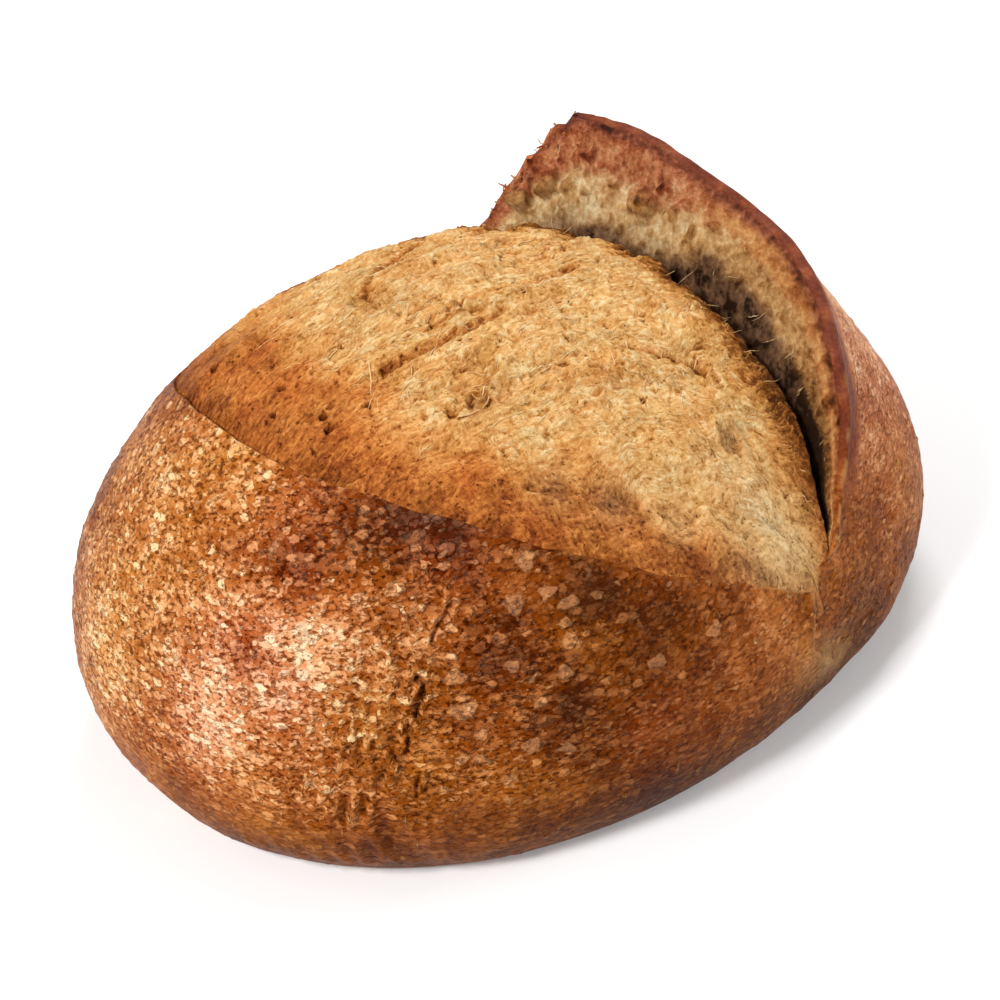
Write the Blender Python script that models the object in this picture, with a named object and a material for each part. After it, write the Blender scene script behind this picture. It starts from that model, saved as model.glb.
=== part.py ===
"""A round-ended sourdough loaf, scored once and torn open in the oven.

The loaf is one solid. It rests on a flat base, and its crust rises as a dome to a lens-shaped
opening that the score left. The dough has swelled through the opening, and the crust beyond it
stands up as a thick flap, the ear, with a crevice between the ear and the swelled dough.

Metres, +Z up. +X is the loaf's long axis, and the origin is the middle of its footprint on the base.
Every point of the surface is found from an angle round the loaf and a row, counted from the middle
of the base, out under the loaf, up the crust, over the edge of the cut, down into the crevice and
across the swelled dough to its middle.
"""

import math

import bpy
import numpy as np

# The dome
HALF_LENGTH = 0.1415
HALF_WIDTH = 0.1165
DOME_HEIGHT = 0.126
WIDEST_HEIGHT = 0.034  # height at which the loaf is widest
OUTLINE_POWER = 2.15  # 2 is an ellipse
DOME_POWER = 2.2
UNDERCUT = 0.017  # how far the base lies inside the widest outline
UNDERCUT_TURN = math.radians(70)  # how much of a quarter turn the side makes before it meets the base

# The waist where the cut runs down to the base
WAIST_DEPTH = 0.05  # share of the radius
WAIST_ANGLE = math.radians(-62)
WAIST_SPREAD = math.radians(24)
WAIST_DROP = 0.012  # how far the widest line comes down there

# The lens-shaped opening in plan: two arcs that meet at its tips
OPENING_MIDDLE = (-0.005, -0.017)
FAR_TIP = (-0.063, 0.080)
NEAR_TIP = (0.0345, -0.1025)
TIP_DIP = 0.014  # how far the dome is drawn down round the near tip
TIP_DIP_REACH = 0.075
TIP_DIP_POWER = 8  # a high one carries the dip out to the widest line, where it ends
EAR_ARC_RISE = 0.074  # how far each arc bows out from the line between the tips
LIP_ARC_RISE = 0.0675
EAR_FULLNESS = 0.11  # share by which the ear's arc is fuller towards the near tip
LIP_FULLNESS = 0.05  # the same for the lip's arc, which is as much flatter towards the far tip
FULL_SPREAD = math.radians(60)
FAR_TIP_FADE = math.radians(28)  # the ear's lift and the crevice die out over this turn to the far tip

# The ear
EAR_LIFT = 0.031
EAR_LEAN = 0.010  # how far its edge leans outwards
EAR_HOLLOW = 0.010  # how far the crust behind it sinks
EAR_BEND = 3.0  # power of the lift up the crust: a high one bends it near its edge
EAR_TOP_ANGLE = math.radians(31)
EAR_RISE_POWER = 1.25
EAR_DIP = 0.2  # share of the lift lost where the ear's edge dips
EAR_DIP_ANGLE = math.radians(2)
EAR_DIP_SPREAD = math.radians(16)
TORN_START = math.radians(34)
TORN_END = math.radians(57)
LIFT_BEHIND = -0.32  # share of the lift beyond the torn end, where the crust has sunk
EAR_WALL = 0.012  # how far the crust's edge stands back from the opening
EAR_EDGE = 0.004  # thickness of the crust at the ear's edge
LIP_EDGE = 0.0025  # thickness of the crust at the lip
BROW = 0.3  # how much of the inner face's drop comes before its middle

# The crevice between the ear and the swelled dough, and the narrow step inside the lip
CREVICE_DEPTH = 0.026
CREVICE_WIDTH = 0.006
OPENS_OVER = math.radians(50)  # how far round from the near tip it takes to reach its full depth
DEPTH_LOST = 0.75  # share of its depth that it loses past the torn end
SHALLOWS_FROM = math.radians(45)
SHALLOWS_TO = math.radians(75)
HEIGHT_BLEND = 0.004  # rounding where the crust's edge crosses the height of the dome
STEP_DEPTH = 0.0035
STEP_WIDTH = 0.0028

# The swelled dough
SWELL_HEIGHT = 0.006
EDGE_DROP_POWER = 5  # a high one keeps the drop to the lip close to the edge
SHOULDER_FALL = 0.008  # how far it falls away towards the crevice
SHOULDER_START = 0.62  # share of the radius where that fall starts

# Rows of points in each stretch of the profile, and columns round the loaf
ROWS = {"base": 2, "undercut": 5, "crust": 17, "edge": 3, "inner_face": 5, "crevice": 6, "swell": 12}
COLUMNS = 90
CRUST_CROWDING = math.radians(83)  # crowds the crust's rows low down, where the dome is steep
OUTLINE_SAMPLES = 720

CRUST_COLOUR = (0.43, 0.19, 0.055, 1.0)


def smoothstep(start, end, value):
    """0 before start, 1 after end, and a smooth rise between them."""
    share = np.clip((value - start) / (end - start), 0, 1)
    return share * share * (3 - 2 * share)


def soft_minimum(first, second):
    """The lower of two heights, rounded off where they cross."""
    return (first + second - np.hypot(first - second, HEIGHT_BLEND)) / 2


def turn_from(start, angle):
    """The shorter way round from start to each angle."""
    return (angle - start + math.pi) % (2 * math.pi) - math.pi


def at_waist(angle):
    """1 at the waist, falling away to both sides."""
    return np.exp(-((turn_from(WAIST_ANGLE, angle) / WAIST_SPREAD) ** 2))


def outline_radius(angle):
    """Distance from the origin to the loaf's widest outline: a superellipse with a waist."""
    along = np.abs(np.cos(angle)) / HALF_LENGTH
    across = np.abs(np.sin(angle)) / HALF_WIDTH
    radius = (along**OUTLINE_POWER + across**OUTLINE_POWER) ** (-1 / OUTLINE_POWER)
    return radius * (1 - WAIST_DEPTH * at_waist(angle))


def widest_height(angle):
    """Height at which the loaf is widest: lower at the waist."""
    return WIDEST_HEIGHT - WAIST_DROP * at_waist(angle)


def dome_height(x, y):
    """Height of the unbroken dome over a point of the plan, drawn down inside the near tip."""
    angle = np.arctan2(y, x)
    share = np.clip(np.hypot(x, y) / outline_radius(angle), 0, 1)
    widest = widest_height(angle)
    height = widest + (DOME_HEIGHT - widest) * np.sqrt(1 - share**DOME_POWER)
    from_tip = np.hypot(x - NEAR_TIP[0], y - NEAR_TIP[1]) / TIP_DIP_REACH
    return height - TIP_DIP * np.exp(-(from_tip**2)) * (1 - share**TIP_DIP_POWER)


def tip_angle(tip):
    """Angle of a tip of the opening, seen from the opening's middle."""
    return math.atan2(tip[1] - OPENING_MIDDLE[1], tip[0] - OPENING_MIDDLE[0])


def on_ear_side(angle):
    return (angle > tip_angle(NEAR_TIP)) & (angle < tip_angle(FAR_TIP))


def beside_tip(angle, tip):
    """0 at a tip and far from it, and highest beside it."""
    turn = turn_from(tip_angle(tip), angle) / FULL_SPREAD
    return np.exp(-(turn**2)) - np.exp(-((3 * turn) ** 2))


def opening_radius(angle):
    """Distance from the opening's middle to its edge: the nearer of the two arcs, made fuller."""
    near_tip, far_tip, middle = np.array(NEAR_TIP), np.array(FAR_TIP), np.array(OPENING_MIDDLE)
    chord = near_tip - far_tip
    half_chord = np.linalg.norm(chord) / 2
    across = np.array([-chord[1], chord[0]]) / (2 * half_chord)
    ray = np.stack([np.cos(angle), np.sin(angle)], axis=-1)
    distances = []
    for rise, side in ((EAR_ARC_RISE, 1), (LIP_ARC_RISE, -1)):
        radius = (half_chord**2 + rise**2) / (2 * rise)
        centre = (near_tip + far_tip) / 2 + across * side * (rise - radius)
        offset = middle - centre
        along = ray @ offset
        distances.append(-along + np.sqrt(along**2 - offset @ offset + radius**2))
    by_near_tip, by_far_tip = beside_tip(angle, NEAR_TIP), beside_tip(angle, FAR_TIP)
    fuller = np.where(
        on_ear_side(angle), EAR_FULLNESS * by_near_tip, LIP_FULLNESS * (by_near_tip - by_far_tip)
    )
    return np.minimum(*distances) * (1 + fuller)


def ear_share(angle):
    """1 at the ear's highest point, 0 at the near tip, and LIFT_BEHIND beyond the torn end."""
    from_tip = (angle - tip_angle(NEAR_TIP)) / (EAR_TOP_ANGLE - tip_angle(NEAR_TIP))
    rise = np.sin(np.clip(from_tip, 0, 1) ** EAR_RISE_POWER * math.pi / 2)
    rise = rise - EAR_DIP * np.exp(-(((angle - EAR_DIP_ANGLE) / EAR_DIP_SPREAD) ** 2)) * rise
    torn = 1 - (1 - LIFT_BEHIND) * smoothstep(TORN_START, TORN_END, angle)
    share = np.where(angle > EAR_TOP_ANGLE, torn, rise)
    fade = 1 - smoothstep(tip_angle(FAR_TIP) - FAR_TIP_FADE, tip_angle(FAR_TIP), angle)
    return np.where(on_ear_side(angle), share * fade, 0)


def crevice_share(angle):
    """1 where the crevice is deep, 0 at the tips and along the lip."""
    near, far = tip_angle(NEAR_TIP), tip_angle(FAR_TIP)
    opens = smoothstep(near, near + OPENS_OVER, angle)
    shallows = 1 - DEPTH_LOST * smoothstep(SHALLOWS_FROM, SHALLOWS_TO, angle)
    closes = 1 - smoothstep(far - FAR_TIP_FADE, far, angle)
    return np.where(on_ear_side(angle), opens * shallows * closes, 0)


def through(keys, count):
    """count points after the first key, on a Catmull-Rom curve through the keys."""
    keys = np.stack([keys[0], *keys, keys[-1]])
    points = []
    for step in range(1, count + 1):
        place = step / count * (len(keys) - 3)
        piece = min(int(place), len(keys) - 4)
        t = place - piece
        before, start, end, after = keys[piece : piece + 4]
        points.append(
            0.5
            * (
                2 * start
                + (end - before) * t
                + (2 * before - 5 * start + 4 * end - after) * t**2
                + (3 * start - before - 3 * end + after) * t**3
            )
        )
    return points


def at_origin(angle, radius, height):
    return np.stack([radius * np.cos(angle), radius * np.sin(angle), height + 0 * angle], axis=-1)


def at_opening(angle, keys):
    """Points in space from (distance from the opening's middle, height) pairs."""
    middle = np.array([*OPENING_MIDDLE, 0])
    return [middle + at_origin(angle, key[:, 0], key[:, 1]) for key in keys]


def underside(angle):
    """The flat base, and the rounded side under the widest outline."""
    widest = outline_radius(angle)
    rows = []
    for step in range(ROWS["base"]):
        rows.append(at_origin(angle, (widest - UNDERCUT) * step / ROWS["base"], 0))
    for step in range(ROWS["undercut"]):
        turn = UNDERCUT_TURN * (1 - step / ROWS["undercut"])
        inward = UNDERCUT * (1 - math.cos(turn)) / (1 - math.cos(UNDERCUT_TURN))
        height = widest_height(angle) * (1 - math.sin(turn) / math.sin(UNDERCUT_TURN))
        rows.append(at_origin(angle, widest - inward, height))
    return rows


def crust(angle):
    """From the widest outline up the dome to the edge of the cut, bent up and out along the ear."""
    start = at_origin(angle, outline_radius(angle), 0)[:, :2]
    edge_radius = opening_radius(angle) + LIP_EDGE + EAR_WALL * crevice_share(angle)
    end = np.array(OPENING_MIDDLE) + at_origin(angle, edge_radius, 0)[:, :2]
    ray = np.stack([np.cos(angle), np.sin(angle)], axis=-1)
    lean = EAR_LEAN * crevice_share(angle)
    lift = EAR_LIFT * ear_share(angle)
    rows = []
    for step in range(ROWS["crust"] + 1):
        share = step / ROWS["crust"]
        inward = (1 - math.cos(share * CRUST_CROWDING)) / (1 - math.cos(CRUST_CROWDING))
        plan = start + (end - start) * inward
        bend = share**EAR_BEND
        sunk = EAR_HOLLOW * np.clip(ear_share(angle), 0, 1) * math.sin(math.pi * share)
        height = dome_height(plan[:, 0], plan[:, 1]) + lift * bend - sunk
        plan = plan + ray * (lean * bend)[:, None]
        rows.append(np.column_stack([plan, height]))
    return rows


def inside_the_cut(angle, crust_edge):
    """Over the crust's edge, down the inner face, and round the crevice to the swelled dough."""
    middle = np.array(OPENING_MIDDLE)
    ear, deep = ear_share(angle), crevice_share(angle)
    radius = opening_radius(angle)
    dome = dome_height(*(middle[:, None] + radius * np.array([np.cos(angle), np.sin(angle)])))
    rim_height = soft_minimum(dome, crust_edge[:, 2])
    edge = LIP_EDGE + (EAR_EDGE - LIP_EDGE) * np.clip(ear * 3, 0, 1)
    width = STEP_WIDTH + CREVICE_WIDTH * deep
    depth = STEP_DEPTH + (CREVICE_DEPTH - STEP_DEPTH) * deep

    outer = np.column_stack([np.linalg.norm(crust_edge[:, :2] - middle, axis=1), crust_edge[:, 2]])
    top = outer + np.column_stack([-0.4 * edge, 0.35 * edge])
    inner = outer + np.column_stack([-edge, 0 * edge])
    foot = np.column_stack([radius - 0.1 * width, rim_height - 0.3 * depth])
    brow = inner + (foot - inner) * np.array([0.5, BROW])
    bottom_outer = np.column_stack([radius - 0.35 * width, rim_height - depth])
    bottom_inner = np.column_stack([radius - 0.85 * width, rim_height - 0.9 * depth])
    shoulder = np.column_stack([radius - 1.1 * width, rim_height - 0.45 * depth])

    keys = (
        through([outer, top, inner], ROWS["edge"])
        + through([inner, brow, foot], ROWS["inner_face"])
        + through([foot, bottom_outer, bottom_inner, shoulder], ROWS["crevice"])
    )
    return at_opening(angle, keys), shoulder[:, 0], dome - rim_height


def swelled_dough(angle, shoulder_radius, edge_drop):
    """From the crevice's inner wall to the opening's middle, crowned above the dome."""
    radius = opening_radius(angle)
    middle = np.array(OPENING_MIDDLE)
    rows = []
    for step in range(1, ROWS["swell"] + 1):
        from_middle = shoulder_radius * (1 - step / ROWS["swell"])
        share = from_middle / radius
        past = np.clip((share - SHOULDER_START) / (1 - SHOULDER_START), 0, 1)
        plan = middle + at_origin(angle, from_middle, 0)[:, :2]
        height = (
            dome_height(plan[:, 0], plan[:, 1])
            + SWELL_HEIGHT * (1 - share**2)
            - SHOULDER_FALL * crevice_share(angle) * past**3
            - edge_drop * share**EDGE_DROP_POWER
        )
        rows.append(np.column_stack([plan, height]))
    return rows


def loaf_surface(angle):
    """Every point of the loaf: one row for each ring, from the base's middle to the dough's."""
    up_the_crust = crust(angle)
    in_the_cut, shoulder_radius, edge_drop = inside_the_cut(angle, up_the_crust[-1])
    dough = swelled_dough(angle, shoulder_radius, edge_drop)
    rows = np.stack(underside(angle) + up_the_crust + in_the_cut + dough)
    around = np.linspace(-math.pi, math.pi, OUTLINE_SAMPLES)
    plan = at_origin(around, outline_radius(around), 0)
    rows[..., :2] -= (plan.max(axis=0) + plan.min(axis=0))[:2] / 2
    return rows


def loaf_mesh(name):
    """A sphere whose rings are moved to the loaf's rows and whose segments are its columns."""
    row_count = sum(ROWS.values()) + 1
    bpy.ops.mesh.primitive_uv_sphere_add(segments=COLUMNS, ring_count=row_count - 1)
    loaf = bpy.context.active_object
    loaf.name = loaf.data.name = name
    sphere = np.array([vertex.co for vertex in loaf.data.vertices])
    row = np.rint(np.arccos(np.clip(-sphere[:, 2], -1, 1)) / math.pi * (row_count - 1)).astype(int)
    angle = np.arctan2(sphere[:, 1], sphere[:, 0])
    surface = loaf_surface(angle)
    loaf.data.vertices.foreach_set("co", surface[row, np.arange(len(row))].ravel())
    loaf.data.update()
    loaf.data.shade_smooth()
    return loaf


def crust_material():
    material = bpy.data.materials.new("baked crust")
    material.use_nodes = True
    shader = material.node_tree.nodes["Principled BSDF"]
    shader.inputs["Base Color"].default_value = CRUST_COLOUR
    shader.inputs["Roughness"].default_value = 0.62
    shader.inputs["Metallic"].default_value = 0.0
    return material


def main():
    for leftover in list(bpy.data.objects):
        bpy.data.objects.remove(leftover)
    loaf = loaf_mesh("loaf")
    loaf.data.materials.append(crust_material())
    collection = bpy.data.collections.new("sourdough loaf")
    bpy.context.scene.collection.children.link(collection)
    for owner in list(loaf.users_collection):
        owner.objects.unlink(loaf)
    collection.objects.link(loaf)


main()
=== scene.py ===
import math

import bpy
import numpy as np
from mathutils import Matrix, Vector


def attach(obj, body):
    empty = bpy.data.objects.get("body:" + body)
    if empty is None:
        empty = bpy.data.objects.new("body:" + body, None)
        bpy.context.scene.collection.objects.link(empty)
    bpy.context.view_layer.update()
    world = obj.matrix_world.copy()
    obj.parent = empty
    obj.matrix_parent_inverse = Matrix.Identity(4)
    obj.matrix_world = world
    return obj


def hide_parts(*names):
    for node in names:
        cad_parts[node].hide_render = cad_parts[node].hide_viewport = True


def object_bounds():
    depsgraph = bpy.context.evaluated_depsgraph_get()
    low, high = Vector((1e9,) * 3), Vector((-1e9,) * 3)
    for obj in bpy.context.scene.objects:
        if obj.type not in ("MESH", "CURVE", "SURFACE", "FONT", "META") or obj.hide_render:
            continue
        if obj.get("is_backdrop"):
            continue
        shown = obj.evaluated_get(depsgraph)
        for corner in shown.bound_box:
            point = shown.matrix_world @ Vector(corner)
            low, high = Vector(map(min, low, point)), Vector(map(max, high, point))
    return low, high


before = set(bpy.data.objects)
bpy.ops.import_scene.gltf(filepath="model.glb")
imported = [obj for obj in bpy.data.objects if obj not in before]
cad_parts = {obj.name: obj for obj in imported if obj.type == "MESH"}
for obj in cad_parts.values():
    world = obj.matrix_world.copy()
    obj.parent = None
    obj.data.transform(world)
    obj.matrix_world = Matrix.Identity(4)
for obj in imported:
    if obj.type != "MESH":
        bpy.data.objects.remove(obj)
cadLow, cadHigh = (np.array(corner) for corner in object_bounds())
print("frame loaded")

mm = 0.001


# numbers and noise, all on whole arrays

def fall(value, centre, spread):  # 1 at the centre, falling away like a bell to both sides
    return np.exp(-(((value - centre) / spread) ** 2))


def rise(start, end, value):  # 0 before start, 1 after end, an S between them; start may be the larger
    share = np.clip((value - start) / (end - start), 0, 1)
    return share * share * (3 - 2 * share)


def turnFrom(start, angle):  # the shorter way round from start to an angle
    return (angle - start + math.pi) % (2 * math.pi) - math.pi


def cellNumber(cells, salt):  # whole-number cells to numbers 0..1 that look random: primes, then mixed bits
    mixed = (cells[..., 0] * 73856093) ^ (cells[..., 1] * 19349663) ^ (cells[..., 2] * 83492791)
    mixed = (mixed ^ (salt * 2654435761)) & 0xFFFFFFFF
    mixed = ((mixed ^ (mixed >> 15)) * 0x2C1B3C6D) & 0xFFFFFFFF
    mixed = ((mixed ^ (mixed >> 12)) * 0x297A2D39) & 0xFFFFFFFF
    return ((mixed ^ (mixed >> 15)) & 0xFFFFFF) / 0xFFFFFF


def softNoise(points, size, salt=0, octaves=1):
    # gradient noise about -1..1: a random slope at each corner of cubes of this size, blended between them
    total = np.zeros(points.shape[:-1])
    for octave in range(octaves):
        place = points / (size / 2**octave) + 17.3 * octave
        base = np.floor(place).astype(np.int64)
        inside = place - base
        blend = inside**3 * (inside * (inside * 6 - 15) + 10)
        value = np.zeros(points.shape[:-1])
        for corner in np.ndindex(2, 2, 2):
            cell = base + np.array(corner)
            turn = cellNumber(cell, salt + 2 * octave) * 2 * math.pi
            tilt = cellNumber(cell, salt + 2 * octave + 1) * 2 - 1
            flat = np.sqrt(1 - tilt**2)
            away = inside - np.array(corner)
            slope = away[..., 0] * flat * np.cos(turn) + away[..., 1] * flat * np.sin(turn) + away[..., 2] * tilt
            value += slope * np.prod(np.where(corner, blend, 1 - blend), axis=-1)
        total += value * 1.6 / 2**octave
    return total


def scatter(points, size, salt):
    # one random spot in each cube of this size: distance to the nearest in sizes, and that spot's own number
    place = points / size
    base = np.floor(place).astype(np.int64)
    nearest = np.full(points.shape[:-1], 9.0)
    own = np.zeros(points.shape[:-1])
    for step in np.ndindex(3, 3, 3):
        cell = base + np.array(step) - 1
        spot = np.stack([cellNumber(cell, salt + k) for k in range(3)], axis=-1) + cell
        distance = np.linalg.norm(place - spot, axis=-1)
        closer = distance < nearest
        nearest = np.where(closer, distance, nearest)
        own = np.where(closer, cellNumber(cell, salt + 3), own)
    return nearest, own


def blisters(points, size, present, radii, salt):  # flat-topped spots up to 1, as many as present says (0..1)
    distance, own = scatter(points, size, salt)
    radius = radii[0] + (radii[1] - radii[0]) * (own / present) ** 2
    strength = 0.45 + 0.55 * (own * 97 % 1)
    return rise(1.0, 0.6, distance * size / radius) * (own < present) * strength


def alongPath(points, normals, path):
    # a line through points in mm: distance from it, minus on the walker's right seen from outside, and the
    # share of its length
    path = np.array(path) * mm
    lengths = np.linalg.norm(np.diff(path, axis=0), axis=1)
    starts = np.concatenate([[0], np.cumsum(lengths)])
    nearest = np.full(points.shape[:-1], 9.0)
    signed = np.full(points.shape[:-1], 9.0)
    share = np.zeros(points.shape[:-1])
    for k, length in enumerate(lengths):
        way = (path[k + 1] - path[k]) / length
        away = points - path[k]
        along = np.clip(away @ way, 0, length)
        off = away - along[..., None] * way
        distance = np.linalg.norm(off, axis=-1)
        side = np.sign(np.sum(np.cross(way, off) * normals, axis=-1))
        closer = distance < nearest
        nearest = np.where(closer, distance, nearest)
        signed = np.where(closer, distance * side, signed)
        share = np.where(closer, (starts[k] + along) / starts[-1], share)
    return signed, share


def patches(points, spots):  # the highest of several soft round patches, each x, y, z, reach in mm and strength
    total = np.zeros(points.shape[:-1])
    for x, y, z, reach, strength in spots:
        distance = np.linalg.norm(points - np.array([x, y, z]) * mm, axis=-1)
        total = np.maximum(total, strength * np.exp(-((distance / (reach * mm)) ** 2)))
    return total


def circleNoise(angle, size, salt, octaves=1):  # noise along the cut, the same at both ends of a turn
    around = np.stack([0.085 * np.cos(angle), 0.085 * np.sin(angle), 0 * angle], axis=-1)
    return softNoise(around, size, salt, octaves)


# the loaf's overall form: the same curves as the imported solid, in metres

form = {
    "halfLength": (cadHigh[0] - cadLow[0]) / 2,
    "halfWidth": 0.1165,
    "domeHeight": 0.126,
    "widestHeight": 0.034,
    "outlinePower": 2.15,
    "domePower": 2.2,
    "undercut": 0.017,
    "undercutTurn": math.radians(70),
    "waistDepth": 0.05,
    "waistAngle": math.radians(-62),
    "waistSpread": math.radians(24),
    "waistDrop": 0.012,
    "middle": np.array([-0.005, -0.017]),
    "farTip": np.array([-0.063, 0.080]),
    "nearTip": np.array([0.0345, -0.1025]),
    "tipDip": 0.014,
    "tipDipReach": 0.075,
    "earArc": 0.074,
    "lipArc": 0.0675,
    "earFullness": 0.11,
    "lipFullness": 0.05,
    "tipFullness": 0.05,
    "tipReach": 0.018,
    "fullSpread": math.radians(60),
    "tipFade": math.radians(28),
}
ear = {
    "lift": 0.031,
    "lean": 0.010,
    "hollow": 0.010,
    "bend": 3.0,
    "topAngle": math.radians(31),
    "risePower": 1.25,
    "dip": 0.2,
    "dipAngle": math.radians(2),
    "dipSpread": math.radians(16),
    "tornStart": math.radians(34),
    "tornEnd": math.radians(57),
    "tornPower": 1.5,
    "liftBehind": -0.32,
    "wall": 0.012,
    "edge": 0.004,
    "lipEdge": 0.0025,
    "brow": 0.3,
    "ragged": 0.0012,
}
crevice = {
    "depth": 0.026,
    "width": 0.006,
    "opensOver": math.radians(50),
    "depthLost": 0.75,
    "shallowsFrom": math.radians(45),
    "shallowsTo": math.radians(75),
    "blend": 0.004,
    "stepDepth": 0.0035,
    "stepWidth": 0.0028,
}


def waist(angle):
    return fall(turnFrom(form["waistAngle"], angle), 0, form["waistSpread"])


def outlineRadius(angle):  # a superellipse with a waist
    across = np.abs(np.sin(angle)) / form["halfWidth"]
    along = np.abs(np.cos(angle)) / form["halfLength"]
    radius = (along ** form["outlinePower"] + across ** form["outlinePower"]) ** (-1 / form["outlinePower"])
    return radius * (1 - form["waistDepth"] * waist(angle))


def widestHeight(angle):
    return form["widestHeight"] - form["waistDrop"] * waist(angle)


def domeHeight(x, y):  # a superellipse section over the outline, drawn down inside the near tip
    angle = np.arctan2(y, x)
    share = np.clip(np.hypot(x, y) / outlineRadius(angle), 0, 1)
    widest = widestHeight(angle)
    height = widest + (form["domeHeight"] - widest) * np.sqrt(1 - share ** form["domePower"])
    fromTip = np.hypot(x - form["nearTip"][0], y - form["nearTip"][1]) / form["tipDipReach"]
    return height - form["tipDip"] * np.exp(-(fromTip**2)) * (1 - share**8)


def tipAngle(tip):
    return math.atan2(*(form[tip] - form["middle"])[::-1])


def onEarSide(angle):
    return (angle > tipAngle("nearTip")) & (angle < tipAngle("farTip"))


def besideTip(angle, tip):
    turn = turnFrom(tipAngle(tip), angle) / form["fullSpread"]
    return np.exp(-(turn**2)) - np.exp(-((3 * turn) ** 2))


def openingRadius(angle):  # the nearer of two arcs through the tips, fuller towards the near tip, a little wavy
    chord = form["nearTip"] - form["farTip"]
    halfChord = np.linalg.norm(chord) / 2
    across = np.array([-chord[1], chord[0]]) / (2 * halfChord)
    distances = []
    for arc, side in ((form["earArc"], 1), (form["lipArc"], -1)):
        radius = (halfChord**2 + arc**2) / (2 * arc)
        centre = (form["nearTip"] + form["farTip"]) / 2 + across * side * (arc - radius)
        offset = form["middle"] - centre
        along = np.cos(angle) * offset[0] + np.sin(angle) * offset[1]
        distances.append(-along + np.sqrt(along**2 - offset @ offset + radius**2))
    near, far = besideTip(angle, "nearTip"), besideTip(angle, "farTip")
    fuller = np.where(onEarSide(angle), form["earFullness"] * near, form["lipFullness"] * (near - far))
    past = angle - tipAngle("nearTip")
    fuller = fuller + form["tipFullness"] * rise(0.0, 0.16, past) * rise(0.85, 0.28, past)
    fuller = fuller + form["tipReach"] * fall(past, -0.10, 0.20)
    return np.minimum(*distances) * (1 + fuller) + 0.0009 * circleNoise(angle, 0.016, 71, 3)


def earShare(angle):  # 1 at the ear's top, 0 at the near tip, below 0 past the torn end
    near = tipAngle("nearTip")
    up = np.clip((angle - near) / (ear["topAngle"] - near), 0, 1)
    climb = np.sin(up ** ear["risePower"] * math.pi / 2)
    climb = climb * (1 - ear["dip"] * fall(angle, ear["dipAngle"], ear["dipSpread"]))
    past = np.clip((angle - ear["tornStart"]) / (ear["tornEnd"] - ear["tornStart"]), 0, 1)
    torn = 1 - (1 - ear["liftBehind"]) * past ** ear["tornPower"]
    share = np.where(angle > ear["topAngle"], torn, climb)
    fade = 1 - rise(tipAngle("farTip") - form["tipFade"], tipAngle("farTip"), angle)
    return np.where(onEarSide(angle), share * fade, 0)


def creviceShare(angle):  # 1 where the crevice is deep, 0 at the tips and along the lip
    near, far = tipAngle("nearTip"), tipAngle("farTip")
    opens = rise(near, near + crevice["opensOver"], angle)
    shallows = 1 - crevice["depthLost"] * rise(crevice["shallowsFrom"], crevice["shallowsTo"], angle)
    closes = 1 - rise(far - form["tipFade"], far, angle)
    return np.where(onEarSide(angle), opens * shallows * closes, 0)


def polar(angle, radius, height, centre=(0, 0)):  # points in space from an angle, a distance and a height
    flat = np.broadcast_arrays(radius * np.cos(angle) + centre[0], radius * np.sin(angle) + centre[1], height)
    return np.stack(flat, axis=-1)


def through(keys, places):
    # Catmull-Rom curve through key points, read at places from 0 to 1: each stretch is a cubic between two keys
    keys = np.stack([keys[0], *keys, keys[-1]])
    rows = []
    for place in np.asarray(places) * (len(keys) - 3):
        piece = min(int(place), len(keys) - 4)
        t = place - piece
        before, start, end, after = keys[piece : piece + 4]
        curve = 2 * start + (end - before) * t + (2 * before - 5 * start + 4 * end - after) * t**2
        rows.append(0.5 * (curve + (3 * start - before - 3 * end + after) * t**3))
    return np.stack(rows)


roundTurn = np.linspace(-math.pi, math.pi, 720)
outlineRound = polar(roundTurn, outlineRadius(roundTurn), 0)
formShift = np.append((outlineRound.max(axis=0) + outlineRound.min(axis=0))[:2] / 2, 0)


def crustAt(angle, share):
    # share 0 at the widest line to 1 at the edge of the cut: the dome's height over a straight way between
    # them in plan, bent up and out along the ear; angle is a row and share a column
    start = polar(angle, outlineRadius(angle), 0)
    reach = openingRadius(angle) + ear["lipEdge"] * 0.4 + ear["wall"] * creviceShare(angle)
    end = polar(angle, reach, 0, form["middle"])
    crowding = math.radians(83)
    inward = (1 - np.cos(share * crowding)) / (1 - math.cos(crowding))
    plan = start + (end - start) * inward[..., None]
    bend = share ** ear["bend"]
    lifted = earShare(angle)
    sunk = ear["hollow"] * np.clip(lifted, 0, 1) * np.sin(math.pi * share)
    height = domeHeight(plan[..., 0], plan[..., 1]) + ear["lift"] * lifted * bend - sunk
    rag = 0.5 * circleNoise(angle, 0.011, 83, 2) + 0.5 * circleNoise(angle, 0.004, 87, 2) - 0.2
    torn = 0.5 + 2.5 * rise(0.58, 0.70, angle)
    notch = fall(angle, 0.645, 0.02) + 0.7 * fall(angle, 0.75, 0.03) + 0.6 * fall(angle, 0.83, 0.02)
    peak = 1.6 * fall(angle, 0.575, 0.045)
    height = height + ear["ragged"] * (torn * rag - 1.8 * notch + peak) * np.clip(lifted * 3, 0, 1) * share**12
    lean = ear["lean"] * creviceShare(angle) * bend
    return plan + polar(angle, lean, height)


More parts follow.
